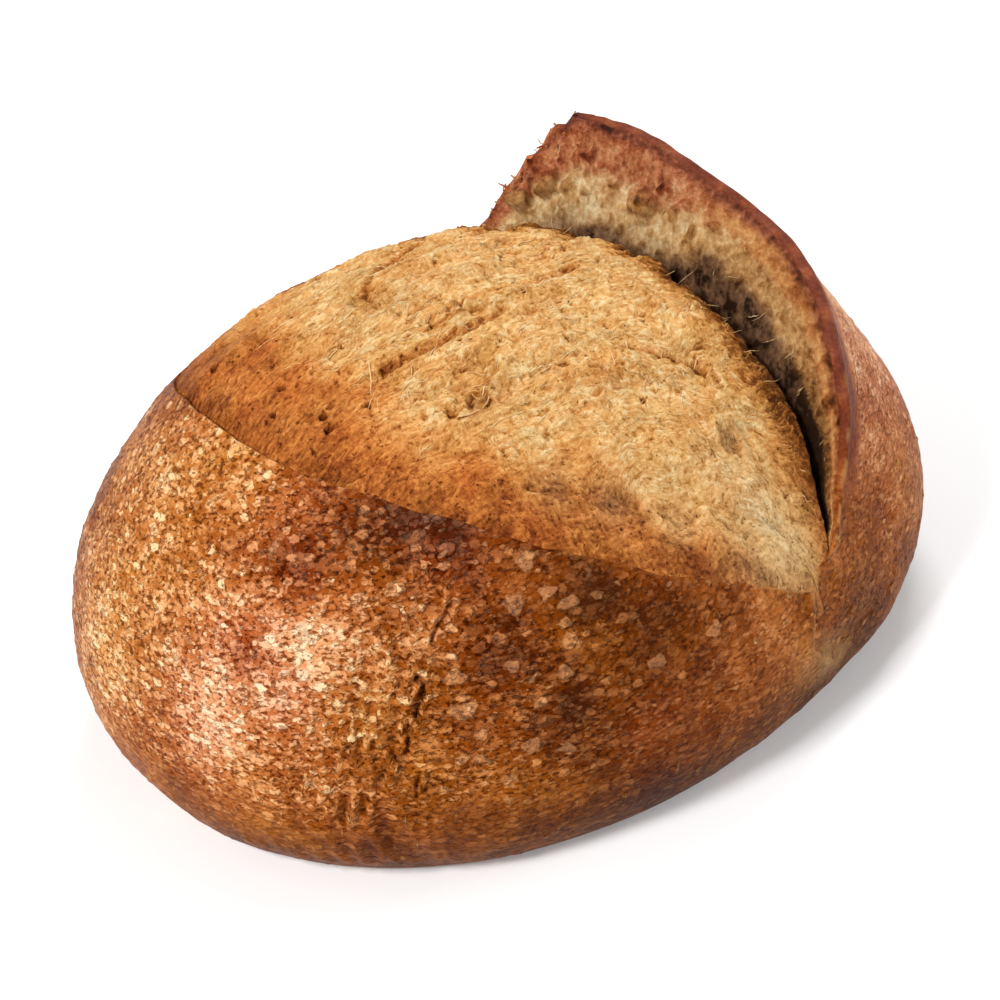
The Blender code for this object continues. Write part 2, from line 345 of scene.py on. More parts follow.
def cutKeys(angle):
    # key points of the section inside the cut, each a distance from the opening's middle and a height
    edgePoint = crustAt(angle, np.ones_like(angle))
    deep = creviceShare(angle)
    radius = openingRadius(angle)
    at = polar(angle, radius, 0, form["middle"])
    dome = domeHeight(at[..., 0], at[..., 1])
    edgeHeight = edgePoint[..., 2]
    rimHeight = (dome + edgeHeight - np.hypot(dome - edgeHeight, crevice["blend"])) / 2
    thick = 0.0012 + (ear["edge"] - 0.0012) * np.clip(earShare(angle) * 3, 0, 1)
    width = crevice["stepWidth"] + crevice["width"] * deep
    depth = crevice["stepDepth"] + (crevice["depth"] - crevice["stepDepth"]) * deep
    flat = np.hypot(edgePoint[..., 0] - form["middle"][0], edgePoint[..., 1] - form["middle"][1])
    pair = lambda across, up: np.stack([across + 0 * radius, up + 0 * radius], axis=-1)
    outer = pair(flat, edgeHeight)
    inner = outer - pair(thick, 0)
    foot = pair(radius - 0.1 * width, rimHeight - 0.3 * depth)
    return {
        "outer": outer,
        "top": outer + pair(-0.4 * thick, 0.3 * thick),
        "inner": inner,
        "brow": inner + (foot - inner) * np.array([0.5, ear["brow"]]),
        "foot": foot,
        "bottomOuter": pair(radius - 0.35 * width, rimHeight - depth),
        "bottomInner": pair(radius - 1.3 * width, rimHeight - depth - 0.002),
        "width": width,
        "depth": depth,
        "dome": dome,
        "rimHeight": rimHeight,
    }


def raised(angle, keys):  # section points to points in space
    return polar(angle, keys[..., 0], keys[..., 1], form["middle"])


# meshes from rings of points

def ringNormals(rows):  # the cross product of the way round and the way up, at each point of a grid of rings
    around = np.roll(rows, -1, axis=1) - np.roll(rows, 1, axis=1)
    normal = np.cross(around, np.gradient(rows, axis=0))
    return normal / (np.linalg.norm(normal, axis=-1, keepdims=True) + 1e-12)


def newPiece(name, points, faces, material, marks, uv=None):
    mesh = bpy.data.meshes.new(name)
    mesh.from_pydata(points.tolist(), [], faces)
    mesh.shade_smooth()
    for mark, values in marks.items():  # one number a point, which the material reads by name
        mesh.attributes.new(mark, "FLOAT", "POINT").data.foreach_set("value", np.ascontiguousarray(values, float))
    if uv is not None:
        corners = np.zeros(len(mesh.loops), int)
        mesh.loops.foreach_get("vertex_index", corners)
        mesh.uv_layers.new(name="fibres").data.foreach_set("uv", np.ascontiguousarray(uv[corners]).ravel())
    mesh.materials.append(material)
    piece = bpy.data.objects.new(name, mesh)
    bpy.context.scene.collection.objects.link(piece)
    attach(piece, "root")
    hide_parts("loaf")
    return piece


def ringFaces(count, around):  # quads between rings of a shell, and a fan at each pole
    ring = np.arange(around)
    ahead = np.roll(ring, -1)
    below = 1 + around * np.arange(count - 3)[:, None]
    quads = np.stack([below + ring, below + ahead, below + around + ahead, below + around + ring], axis=-1)
    last = 1 + around * (count - 3)
    top = last + around
    bottomFan = np.stack([0 * ring, 1 + ahead, 1 + ring], axis=-1)
    topFan = np.stack([0 * ring + top, last + ring, last + ahead], axis=-1)
    return quads.reshape(-1, 4).tolist() + bottomFan.tolist() + topFan.tolist()


def poled(values):  # a grid of rings as a list of points: the first and the last ring are poles, one point each
    return np.concatenate([values[:1, 0], values[1:-1].reshape(-1, *values.shape[2:]), values[-1:, 0]])


def inBox(points):  # the loaf's plan is centred on its own outline, as the solid's is, and kept in its box
    return np.clip(points - formShift, cadLow, cadHigh)


# materials

def hexColour(code):  # sRGB hex to linear
    parts = [int(code[k : k + 2], 16) / 255 for k in (1, 3, 5)]
    return (*[part / 12.92 if part <= 0.04045 else ((part + 0.055) / 1.055) ** 2.4 for part in parts], 1.0)


def addNode(tree, kind, inputs, **settings):  # inputs are numbers or other nodes' sockets
    node = tree.nodes.new("ShaderNode" + kind)
    for name, value in settings.items():
        setattr(node, name, value)
    for name, value in inputs.items():
        if isinstance(value, bpy.types.NodeSocket):
            tree.links.new(value, node.inputs[name])
        else:
            node.inputs[name].default_value = value
    return node


def setRamp(node, stops):
    while len(node.color_ramp.elements) < len(stops):
        node.color_ramp.elements.new(0.5)
    for element, (place, code) in zip(node.color_ramp.elements, stops):
        element.position = place
        element.color = hexColour(code)
    return node.outputs["Color"]


def newMaterial(name):
    material = bpy.data.materials.new(name)
    material.use_nodes = True
    tree = material.node_tree
    return material, tree, tree.nodes["Principled BSDF"]


# the crust

crustLook = {
    "columns": 620,
    "crowded": 0.5,  # share by which columns crowd towards the front
    "front": math.radians(-125),
    "rows": {"base": 3, "undercut": 16, "crust": 124, "edge": 5},
    "lumps": 0.9,
    "blisterHeight": 0.45,
    "creases": 1.35,
}
fold = [(-57, -79, 93), (-69, -78, 89), (-79, -78, 84), (-87, -80, 76), (-96, -81, 65), (-104, -80, 52),
        (-116, -72, 39), (-121, -63, 22)]
# short creases beside the fold: points x, y, z, then half width and height (a groove when below 0), mm
wrinkles = [(((-74, -77, 87), (-77, -78, 85), (-81, -78, 82), (-84, -80, 79)), 0.7, -1.0),
            (((-77, -80, 85), (-81, -80, 82), (-85, -82, 77), (-88, -84, 71)), 0.8, 0.7),
            (((-71, -80, 87), (-72, -83, 83)), 0.7, 0.9),
            (((-68, -87, 81), (-72, -88, 77)), 0.7, 0.9),
            (((-94, -78, 73), (-97, -78, 68)), 0.8, -1.1),
            (((-91, -80, 73), (-94, -80, 69)), 0.8, -1.1),
            (((-90, -82, 70), (-93, -83, 66), (-95, -83, 62)), 0.9, -1.3),
            (((-92, -81, 71), (-95, -81, 66)), 0.8, 1.1),
            (((-86, -80, 76), (-89, -82, 72), (-92, -84, 66)), 0.8, 0.9),
            (((-99, -81, 62), (-100, -82, 56), (-101, -82, 52)), 0.9, 1.4),
            (((-97, -82, 62), (-100, -84, 53)), 0.8, -0.8),
            (((-104, -80, 53), (-103, -82, 47)), 0.8, 1.3),
            (((-106, -80, 47), (-108, -79, 42)), 0.8, -1.2),
            (((-98, -87, 45), (-99, -87, 41)), 0.7, 1.1),
            (((-99, -86, 45), (-100, -86, 40)), 0.6, -1.0),
            (((-115, -73, 39), (-117, -70, 30)), 1.0, -1.2),
            (((-113, -74, 38), (-115, -72, 28)), 1.0, 1.1),
            (((-117, -70, 39), (-119, -67, 30)), 1.0, 1.1),
            (((-120, -67, 37), (-122, -64, 30)), 1.0, -1.1),
            (((-111, -76, 39), (-112, -76, 33)), 0.9, -1.0),
            (((-106, -77, 58), (-109, -75, 54)), 1.0, 1.2),
            (((-109, -72, 60), (-112, -71, 55)), 1.0, 1.1)]
seam = [(34, -104, 52), (35, -106, 47), (32, -108, 41), (29, -110, 34), (35, -109, 28), (47, -105, 18)]
bigBlisters = [(-51, -82, 92, 4, 1), (-50, -89, 85, 3, 1), (-46, -94, 81, 3.6, 1), (-50, -96, 77, 2.6, 1),
               (-51, -98, 73, 2.6, 1), (-30, -110, 60, 3.4, 1), (-82, -87, 71, 3.6, 1), (-56, -101, 66, 3, 1),
               (-71, -102, 49, 3.2, 1), (-62, -107, 45, 3.2, 1), (-88, -94, 49, 3.4, 1), (-9, -110, 60, 3.6, 1),
               (-82, -95, 55, 3, 1), (-84, -65, 91, 3.4, 1), (-93, -59, 89, 3, 1), (-82, -87, 71, 4, 1),
               (-85, -91, 62, 4.6, 0.8), (-60, -87, 84, 4, 0.7), (-65, -101, 60, 2.6, 1), (-68, -94, 71, 2.4, 0.9),
               (-84, -96, 48, 2.6, 0.9), (-78, -101, 40, 3.4, 0.8), (-94, -91, 40, 2, 1), (-81, -84, 76, 1.8, 1)]
burnt = [(-82, -49, 101, 13, 0.6), (-98, -41, 96, 13, 0.6), (-68, -59, 102, 16, 0.8), (-69, -71, 95, 10, 0.5),
         (-50, -80, 95, 9, 0.5), (-71, -92, 73, 15, 0.7), (-76, -86, 76, 9, 0.5), (-37, -95, 81, 13, 0.5),
         (-26, -103, 72, 14, 0.4), (-120, -39, 76, 6, 0.4), (-60, -103, 55, 16, 0.4), (-90, -80, 62, 8, 0.3)]
golden = [(-101, 25, 98, 26, 0.8), (-90, 19, 106, 20, 0.7), (-90, -8, 107, 12, 0.7), (-112, -35, 87, 8, 0.6),
          (-112, -55, 79, 17, 0.9), (-132, -32, 61, 20, 1.2), (-113, -68, 66, 15, 0.4), (-125, -16, 78, 18, 0.7),
          (-132, 10, 62, 30, 0.9)]


def makeCrust():
    count = crustLook["rows"]
    turned = np.linspace(-math.pi, math.pi, crustLook["columns"], endpoint=False)
    angle = (turned - crustLook["crowded"] * np.sin(turned - crustLook["front"]))[None, :]
    widest = outlineRadius(angle)
    baseShare = np.array([0, 0.55, 0.96])[:, None]
    base = polar(angle, (widest - form["undercut"]) * baseShare, 0)
    turn = form["undercutTurn"] * (1 - np.arange(count["undercut"])[:, None] / count["undercut"])
    inward = form["undercut"] * (1 - np.cos(turn)) / (1 - math.cos(form["undercutTurn"]))
    side = polar(angle, widest - inward, widestHeight(angle) * (1 - np.sin(turn) / math.sin(form["undercutTurn"])))
    share = np.linspace(0, 1, count["crust"] + 1)[:, None]
    dome = crustAt(angle, share)
    keys = cutKeys(angle[0])
    edgePlaces = np.arange(1, count["edge"] + 1) / count["edge"]
    edge = raised(angle, through([keys["outer"], keys["top"], keys["inner"]], edgePlaces))
    outside = np.concatenate([base, side, dome, edge])
    normals = ringNormals(outside)

    # how far each point is from the cut's edge, in metres, on the outside
    toEdge = np.linalg.norm(outside - dome[-1:], axis=-1)
    lifted = np.clip(earShare(angle), 0, 1)
    upper = np.concatenate([np.zeros((3 + count["undercut"], 1)), share, np.ones((count["edge"], 1))])

    # relief in mm, outwards
    left = rise(-0.02, -0.09, outside[..., 0]) * rise(0.02, 0.045, outside[..., 2])
    lump = softNoise(outside, 0.045, 5, 2) * crustLook["lumps"] - 0.5 * crustLook["lumps"]
    lump += 0.3 * softNoise(outside, 0.012, 7, 2) + (0.15 + 0.2 * left) * softNoise(outside, 0.003, 8, 2)
    bent = 0.0014 * np.stack([softNoise(outside, 0.0035, k, 2) for k in (21, 22, 23)], axis=-1)
    flatter = (outside + bent) * np.array([1, 1, 1.6])
    blister = np.maximum(blisters(flatter, 0.0085, 0.35, (0.0012, 0.0032), 11),
                         blisters(flatter, 0.0046, 0.45, (0.0008, 0.0019), 15))
    for x, y, z, radius, strength in bigBlisters:
        off = np.linalg.norm((outside + bent - np.array([x, y, z]) * mm) * np.array([1, 1, 1.35]), axis=-1)
        blister = np.maximum(blister, strength * rise(1.0, 0.7, off / (radius * mm)))
    foldOff, foldShare = alongPath(outside, normals, fold)
    foldOn = rise(0.0, 0.2, foldShare) * rise(1.0, 0.85, foldShare) * rise(0.03, 0.018, np.abs(foldOff))
    wobble = foldOff + 0.0012 * softNoise(outside, 0.009, 31, 2)
    drop = np.where(wobble < 0, 1.2 * np.exp(wobble / 0.006), -0.8 * np.exp(-wobble / 0.004))
    broken = rise(-0.2, 0.3, softNoise(outside, 0.012, 34, 2))
    ridge = np.zeros_like(wobble)
    shaken = outside + 0.0008 * np.stack([softNoise(outside, 0.005, k, 2) for k in (24, 25, 26)], axis=-1)
    for path, wide, high in wrinkles:
        line, _ = alongPath(shaken, normals, path)
        ridge += high * (fall(line, 0, wide * mm) - 0.4 * fall(np.abs(line), 2.1 * wide * mm, wide * mm))
    crumple = (1 - np.abs(softNoise(outside * np.array([1, 1, 0.4]), 0.0045, 35, 2))) ** 3
    crumple = (crumple - 0.45) * foldOn * fall(wobble, -0.009, 0.012)
    low = rise(0.05, 0.034, outside[..., 2]) * rise(0.003, 0.012, outside[..., 2])
    puckered = low * fall(turnFrom(math.radians(-148), angle), 0, math.radians(12))
    gathered = np.stack([angle * 0.11 + 0 * toEdge, 0.18 * outside[..., 2], 0 * toEdge], axis=-1)
    furrow = 1 - 2.6 * np.abs(softNoise(gathered, 0.007, 37, 2))
    creased = crustLook["creases"] * (
        foldOn * drop * rise(0.0, 0.003, np.abs(wobble)) * (0.3 + 0.7 * broken) + ridge + 2.0 * crumple + 0.7 * puckered * furrow)
    seamOff, seamShare = alongPath(outside, normals, seam)
    seamOn = rise(0.0, 0.12, seamShare) * rise(1.0, 0.7, seamShare)
    seamRelief = -1.5 * np.exp(-((seamOff / 0.0011) ** 2)) + 0.9 * fall(seamOff, -0.0028, 0.0022)
    seamRelief -= 0.5 * rise(0.0, 0.002, seamOff) * rise(0.012, 0.004, seamOff)
    edgeThin = rise(0.0, 0.006, toEdge)
    relief = lump + crustLook["blisterHeight"] * blister * edgeThin + creased + seamOn * seamRelief * 0.9
    relief *= rise(0.0, 0.006, outside[..., 2])
    keep = 1 - 0.75 * upper ** 30
    outside = outside + normals * (relief * keep * mm)[..., None]

    # the shell's hidden inner side: the outer surface again, deeper in
    insideShare = np.array([0.985, 0.94, 0.85, 0.65, 0.35, 0.0])[:, None]
    hidden = crustAt(angle, insideShare)
    hiddenNormals = ringNormals(hidden)
    depth = np.array([2.0, 3.0, 4.0, 5.0, 6.0, 6.0])[:, None, None] * mm
    hidden = hidden + hiddenNormals * depth
    bottom = polar(angle, (widest - 0.03) * np.ones((1, 1)), 0.006)
    pole = polar(angle, 0 * widest, 0.006)
    rows = np.concatenate([outside, hidden, bottom, pole])

    # the baked colour from 0 burnt to 1 pale gold, with painted light and shade added along the fold, the creases and
    # the ear flap; redness 0 golden to 1 burgundy or pink
    x, y, z = outside[..., 0], outside[..., 1], outside[..., 2]
    browningAndShading = 0.36 + 0.10 * softNoise(outside, 0.05, 41, 3) + 0.10 * softNoise(outside, 0.014, 45, 3)
    browningAndShading += 0.22 * rise(-0.03, -0.11, x)
    browningAndShading += 0.24 * patches(outside, golden) - 0.55 * patches(outside, burnt)
    # painted light and shade: the raised side of the fold and the crests of the creases paler, their grooves darker
    browningAndShading += 0.04 * foldOn * fall(wobble, -0.006, 0.007) + 0.11 * np.clip(creased, -1.6, 1.0)
    browningAndShading -= 0.20 * rise(0.045, 0.012, z) * rise(0.02, -0.05, y)
    # a paler patch at the right front; then the ear flap's outer side painted paler, its top more so: painted light
    # falling from the right and above
    browningAndShading += 0.18 * patches(outside, [(15, -108, 45, 30, 1)]) + 0.36 * rise(0.035, 0.09, x) * rise(0.0, 0.08, z)
    browningAndShading += 0.08 * rise(0.05, 0.08, x) * rise(0.07, 0.10, z)
    tornEnd = rise(0.60, 0.68, angle) * rise(0.010, 0.002, toEdge) * onEarSide(angle)
    rim = rise(0.011, 0.002, toEdge) * rise(math.radians(-56), math.radians(-36), angle) * rise(0.76, 0.64, angle)
    rim = rim * (0.7 + 0.3 * rise(-0.6, 0.2, softNoise(outside, 0.006, 47, 2)))
    browningAndShading += 0.10 * tornEnd - 0.12 * rim
    redness = 0.28 + 0.24 * softNoise(outside, 0.03, 51, 2) - 0.3 * rise(0.04, 0.012, z)
    redness += 0.5 * patches(outside, [(-98, -41, 96, 24, 1), (-68, -59, 102, 20, 0.9), (-112, -40, 80, 18, 0.9)])
    redness += 0.6 * patches(outside, [(-128, -30, 52, 24, 1), (-118, -52, 62, 16, 0.7)])
    redness += 0.5 * rise(0.02, 0.10, x) * rise(0.03, 0.08, z) + 0.5 * tornEnd
    cream = seamOn * (0.35 * fall(seamOff, -0.002, 0.0010) + 0.2 * fall(seamOff, 0.004, 0.005) * rise(0.6, 0.8, seamShare))
    cream = np.maximum(cream, patches(outside, [(34, -109, 26, 6, 0.5), (42, -107, 22, 5, 0.4), (26, -111, 30, 8, 0.25)]))
    pale = 0.4 * rise(0.0016, 0.0004, toEdge) * fall(angle, math.radians(-56), math.radians(22))
    pale = pale * rise(-0.4, 0.5, softNoise(outside, 0.004, 48, 2))
    fill = lambda values, number: np.concatenate([values, np.full((8, values.shape[1]), number)])
    pebbles = 0.10 + 0.56 * left + 0.12 * rise(-0.06, 0.0, outside[..., 0]) * rise(-0.02, -0.07, outside[..., 1])
    pebbles = pebbles - 1.2 * rim
    marks = {"browningAndShading": fill(browningAndShading, 0.5), "redness": fill(np.clip(redness, 0, 1), 0.2),
             "blister": fill(blister, 0), "pebbles": fill(pebbles, 0), "rim": fill(rim, 0),
             "cream": fill(np.maximum(cream, pale), 0)}
    marks = {mark: poled(values) for mark, values in marks.items()}
    return newPiece("crust", inBox(poled(rows)), ringFaces(*rows.shape[:2]), bakedCrust(), marks)


def bakedCrust():
    # crust baked in steam: satin, golden to chestnut, pebbled all over with small gas blisters that stay paler, their
    # tops painted paler still as painted highlight
    material, tree, shader = newMaterial("bakedCrust")
    add = lambda kind, inputs, **settings: addNode(tree, kind, inputs, **settings)
    where = add("TexCoord", {}).outputs["Object"]
    mark = {name: add("Attribute", {}, attribute_name=name).outputs["Fac"]
            for name in ("browningAndShading", "redness", "blister", "cream", "pebbles", "rim")}
    # squeezed upright, so marks on the flanks lie flat, as they do where dough has stretched round
    squeezed = add("Mapping", {"Vector": where, "Scale": (1, 1, 1.8)}).outputs[0]
    cloud = add("TexNoise", {"Vector": where, "Scale": 70, "Detail": 6, "Roughness": 0.62}).outputs["Fac"]
    grain = add("TexNoise", {"Vector": squeezed, "Scale": 640, "Detail": 5, "Roughness": 0.68}).outputs["Fac"]
    warp = add("TexNoise", {"Vector": squeezed, "Scale": 380, "Detail": 3}).outputs["Color"]
    bent = add("VectorMath", {0: warp, 1: (0.0028, 0.0028, 0.0028), 2: squeezed}, operation="MULTIPLY_ADD").outputs[0]
    bumps = None
    # spacing in mm, reach in spacings, share present, brightness; crisp flat-topped flakes, few of them bright
    for spacing, reach, present, high in ((1.9, 0.75, 0.75, 0.65), (3.6, 0.7, 0.5, 1.0), (7.0, 0.5, 0.4, 0.65)):
        cells = add("TexVoronoi", {"Vector": bent, "Scale": 1000 / spacing})
        own = add("SeparateColor", {"Color": cells.outputs["Color"]}).outputs
        size = add("MapRange", {"Value": own[0], "From Min": 1 - present, "From Max": 1.25 - present, "To Min": 0.001,
                                "To Max": reach}).outputs[0]
        share = add("Math", {0: cells.outputs["Distance"], 1: size}, operation="DIVIDE").outputs[0]
        bump = add("MapRange", {"Value": share, "From Min": 1.1, "From Max": 0.65}, interpolation_type="SMOOTHSTEP")
        bright = add("Math", {0: own[1], 1: own[1]}, operation="MULTIPLY").outputs[0]
        bright = add("MapRange", {"Value": bright, "To Min": 0.25 * high, "To Max": high}).outputs[0]
        bump = add("Math", {0: bump.outputs[0], 1: bright}, operation="MULTIPLY").outputs[0]
        bumps = bump if bumps is None else add("Math", {0: bumps, 1: bump}, operation="MAXIMUM").outputs[0]
    # flakes crowd together in some places and thin out in others
    thin = add("TexNoise", {"Vector": where, "Scale": 160, "Detail": 3}).outputs["Fac"]
    thin = add("Math", {0: thin, 1: mark["pebbles"]}, operation="ADD").outputs[0]
    crowd = add("MapRange", {"Value": thin, "From Min": 0.1, "From Max": 1.2, "To Min": 0.0, "To Max": 1.0}).outputs[0]
    bumps = add("Math", {0: bumps, 1: crowd}, operation="MULTIPLY").outputs[0]
    # between the flakes of the paler crust, small gaps, sunk in the bump and painted darker: painted shade
    shadedGap = add("TexNoise", {"Vector": squeezed, "Scale": 520, "Detail": 4, "Roughness": 0.6}).outputs["Fac"]
    shadedGap = add("MapRange", {"Value": shadedGap, "From Min": 0.47, "From Max": 0.36}, interpolation_type="SMOOTHSTEP").outputs[0]
    shadedGap = add("Math", {0: shadedGap, 1: crowd}, operation="MULTIPLY").outputs[0]
    edgeGrain = add("Math", {0: grain, 1: 0.5, 2: mark["blister"]}, operation="MULTIPLY_ADD").outputs[0]
    large = add("MapRange", {"Value": edgeGrain, "From Min": 0.5, "From Max": 1.1}, interpolation_type="SMOOTHSTEP").outputs[0]
    tone = mark["browningAndShading"]
    # the flakes' heights also lighten the tone: paler blisters, partly painted highlight on their tops
    for layer, weight in ((cloud, 0.55), (grain, 0.6), (bumps, 0.44), (large, 0.14), (shadedGap, -0.3)):
        tone = add("Math", {0: layer, 1: weight, 2: tone}, operation="MULTIPLY_ADD").outputs[0]
    tone = add("MapRange", {"Value": tone, "From Min": 0.71, "From Max": 1.66}).outputs[0]
    gold = setRamp(add("ValToRGB", {"Fac": tone}), ((0.0, "#461a00"), (0.2, "#6c3300"), (0.42, "#904c0c"),
                                                 (0.62, "#b86f2a"), (0.8, "#dc9c58"), (1.0, "#f6d294")))
    red = setRamp(add("ValToRGB", {"Fac": tone}), ((0.0, "#4a1200"), (0.2, "#722404"), (0.42, "#94421a"),
                                                (0.62, "#ba683c"), (0.8, "#dea078"), (1.0, "#f8d4b0")))
    ground = add("Mix", {0: mark["redness"], 6: gold, 7: red}, data_type="RGBA").outputs[2]
    flakeAndGlintColour = add("Mix", {0: mark["redness"], 6: hexColour("#dca670"), 7: hexColour("#eebe98")}, data_type="RGBA").outputs[2]
    # mixed towards a pale flake colour: paler big blisters, and on the small flakes partly painted highlight
    palenessAndGlints = add("Math", {0: large, 1: 0.22}, operation="MULTIPLY").outputs[0]
    palenessAndGlints = add("Math", {0: bumps, 1: 0.25, 2: palenessAndGlints}, operation="MULTIPLY_ADD").outputs[0]
    lifted = add("Mix", {0: palenessAndGlints, 6: ground, 7: flakeAndGlintColour}, data_type="RGBA").outputs[2]
    # the ear's rim is smooth, burnt to a dull burgundy
    burgundy = setRamp(add("ValToRGB", {"Fac": tone}), ((0.0, "#300f0a"), (0.4, "#602b20"), (1.0, "#965644")))
    rimmed = add("Mix", {0: mark["rim"], 6: lifted, 7: burgundy}, data_type="RGBA").outputs[2]
    creamy = add("Mix", {0: mark["cream"], 6: rimmed, 7: hexColour("#d8aa6c")}, data_type="RGBA").outputs[2]
    tree.links.new(creamy, shader.inputs["Base Color"])
    height = add("Math", {0: grain, 1: 0.5, 2: bumps}, operation="MULTIPLY_ADD").outputs[0]
    for layer, weight in ((large, 0.5), (shadedGap, -0.5)):
        height = add("Math", {0: layer, 1: weight, 2: height}, operation="MULTIPLY_ADD").outputs[0]
    bump = add("Bump", {"Height": height, "Strength": 1.0, "Distance": 0.0013})
    tree.links.new(bump.outputs[0], shader.inputs["Normal"])
    shader.inputs["Roughness"].default_value = 0.4
    shader.inputs["Specular IOR Level"].default_value = 0.06
    shader.inputs["Specular Tint"].default_value = hexColour("#ffc890")
    return material


# the swelled dough

doughLook = {
    "side": 306,
    "swell": 0.006,
    "shoulderFall": 0.008,
    "shoulderStart": 0.62,
    "fibreTurn": math.radians(-4),
    "sheet": 0.9,  # height of one torn sheet of dough over the next, mm
    "felt": 0.45,
}
holes = [(-68, 44, 1.5, 1.8), (-67, 8, 1.4, 2.0), (-74, 3, 1.0, 1.2), (-67, -13, 1.6, 2.6), (-69, -18, 1.5, 2.2),
         (-42, -41, 1.9, 1.6), (-62, 20, 0.9, 0.9), (-57, -21, 1.3, 0.8), (-4, -45, 2.4, 1.2), (-47, 5, 1.2, 0.7),
         (3, -38, 1.0, 0.9), (20, -35, 1.0, 0.7), (12, -60, 1.2, 0.9), (30, -40, 0.9, 0.8), (-22, -20, 0.9, 0.6)]
# x, y, radius, depth, mm
pockets = [(-15, -10, 5.5, 3.0, 1.2, 18), (-23, -9, 3.2, 1.8, 0.9, 25), (-29, -35, 11, 6.5, 0.8, 20), (-34, -43, 4, 3, 1.0, -20),
           (31, -75, 4.5, 3.8, 1.5, 60), (-28, 16, 8, 6, 0.7, 40), (-18, -80, 9, 4, 1.0, -35), (-32, -71, 7, 3.5, 0.8, -35),
           (6, -52, 6, 2, 0.9, -25), (41, -61, 6, 4, -1.1, -50), (-25, -2, 7, 1.6, 0.6, 15), (16, -92, 8, 4, 0.7, -40),
           (-2, -88, 6, 3, 0.7, -35), (0, -22, 6, 2, 0.7, 0)]
# x, y, half length, half width, depth, turn in degrees
# creases: points x, y, then half width, depth and how far the side on its left stands over it, mm
creases = [(((-46, -14), (-41, -15), (-34, -16), (-27, -17), (-14, -18), (-4, -17)), 0.9, 1.0, 0.5),
           (((-41, -8), (-31, -10), (-22, -13), (-8, -14)), 0.8, 0.6, 0.2),
           (((-48, -31), (-41, -28), (-36, -27), (-29, -29), (-22, -33), (-16, -39)), 0.7, 0.6, -0.8),
           (((-29, 13), (-28, 19), (-22, 24), (-7, 33), (7, 39)), 1.0, 0.9, 0.5),
           (((-11, -8), (-2, -9), (8, -11), (18, -12), (28, -12)), 0.8, 0.8, 0.3),
           (((15, -45), (21, -46), (26, -48), (31, -52), (37, -58)), 0.7, 1.2, -0.6),
           (((31, -52), (34, -55), (37, -58)), 1.1, 1.6, 0.0),
           (((37, -51), (43, -51), (49, -53)), 0.6, 0.7, 0.2),
           (((-36, -43), (-34, -40), (-31, -41), (-30, -45)), 0.6, 0.7, -0.2),
           (((28, -71), (30, -70), (35, -72), (35, -76)), 0.7, -0.9, 0.0),
           (((-58, -35), (-55, -43), (-46, -46)), 0.9, -0.7, 0.5),
           (((50, -36), (49, -40), (51, -44)), 0.6, -0.8, 0.4)]


def fibreWay(plan):  # coordinates along and across the fibres: a straight grain, bent more and more to the right
    points = np.stack([plan[..., 0], plan[..., 1], 0 * plan[..., 0]], axis=-1)
    turn = doughLook["fibreTurn"]
    along = plan[..., 0] * math.cos(turn) + plan[..., 1] * math.sin(turn)
    across = -plan[..., 0] * math.sin(turn) + plan[..., 1] * math.cos(turn)
    curly = rise(-0.03, 0.03, plan[..., 0] - 0.35 * plan[..., 1])
    across = across + 0.006 * softNoise(points, 0.045, 61) + (0.0010 + 0.0020 * curly) * softNoise(points, 0.013, 62, 2)
    along = along + (0.0010 + 0.0025 * curly) * softNoise(points, 0.012, 64, 2)
    return along, across


def bandShare(angle, share):
    # the outer band that stretched instead of tearing: 1 inside it. It is wide at the far tip and along the
    # lip, and thins out to nothing at the near tip
    wide = fall(turnFrom(math.radians(160), angle), 0, math.radians(62))
    narrow = fall(turnFrom(math.radians(-105), angle), 0, math.radians(38))
    start = 1.0 - 0.36 * wide - 0.18 * narrow
    uneven = 0.05 * softNoise(polar(angle, 0.07 * share, 0), 0.014, 66, 3)
    cloudy = 0.10 * softNoise(polar(angle, 0.07 * share, 0), 0.022, 68, 3)
    return rise(start - 0.18, start + 0.14, share + uneven + cloudy) * rise(0.04, 0.14, wide + narrow), share + uneven - start


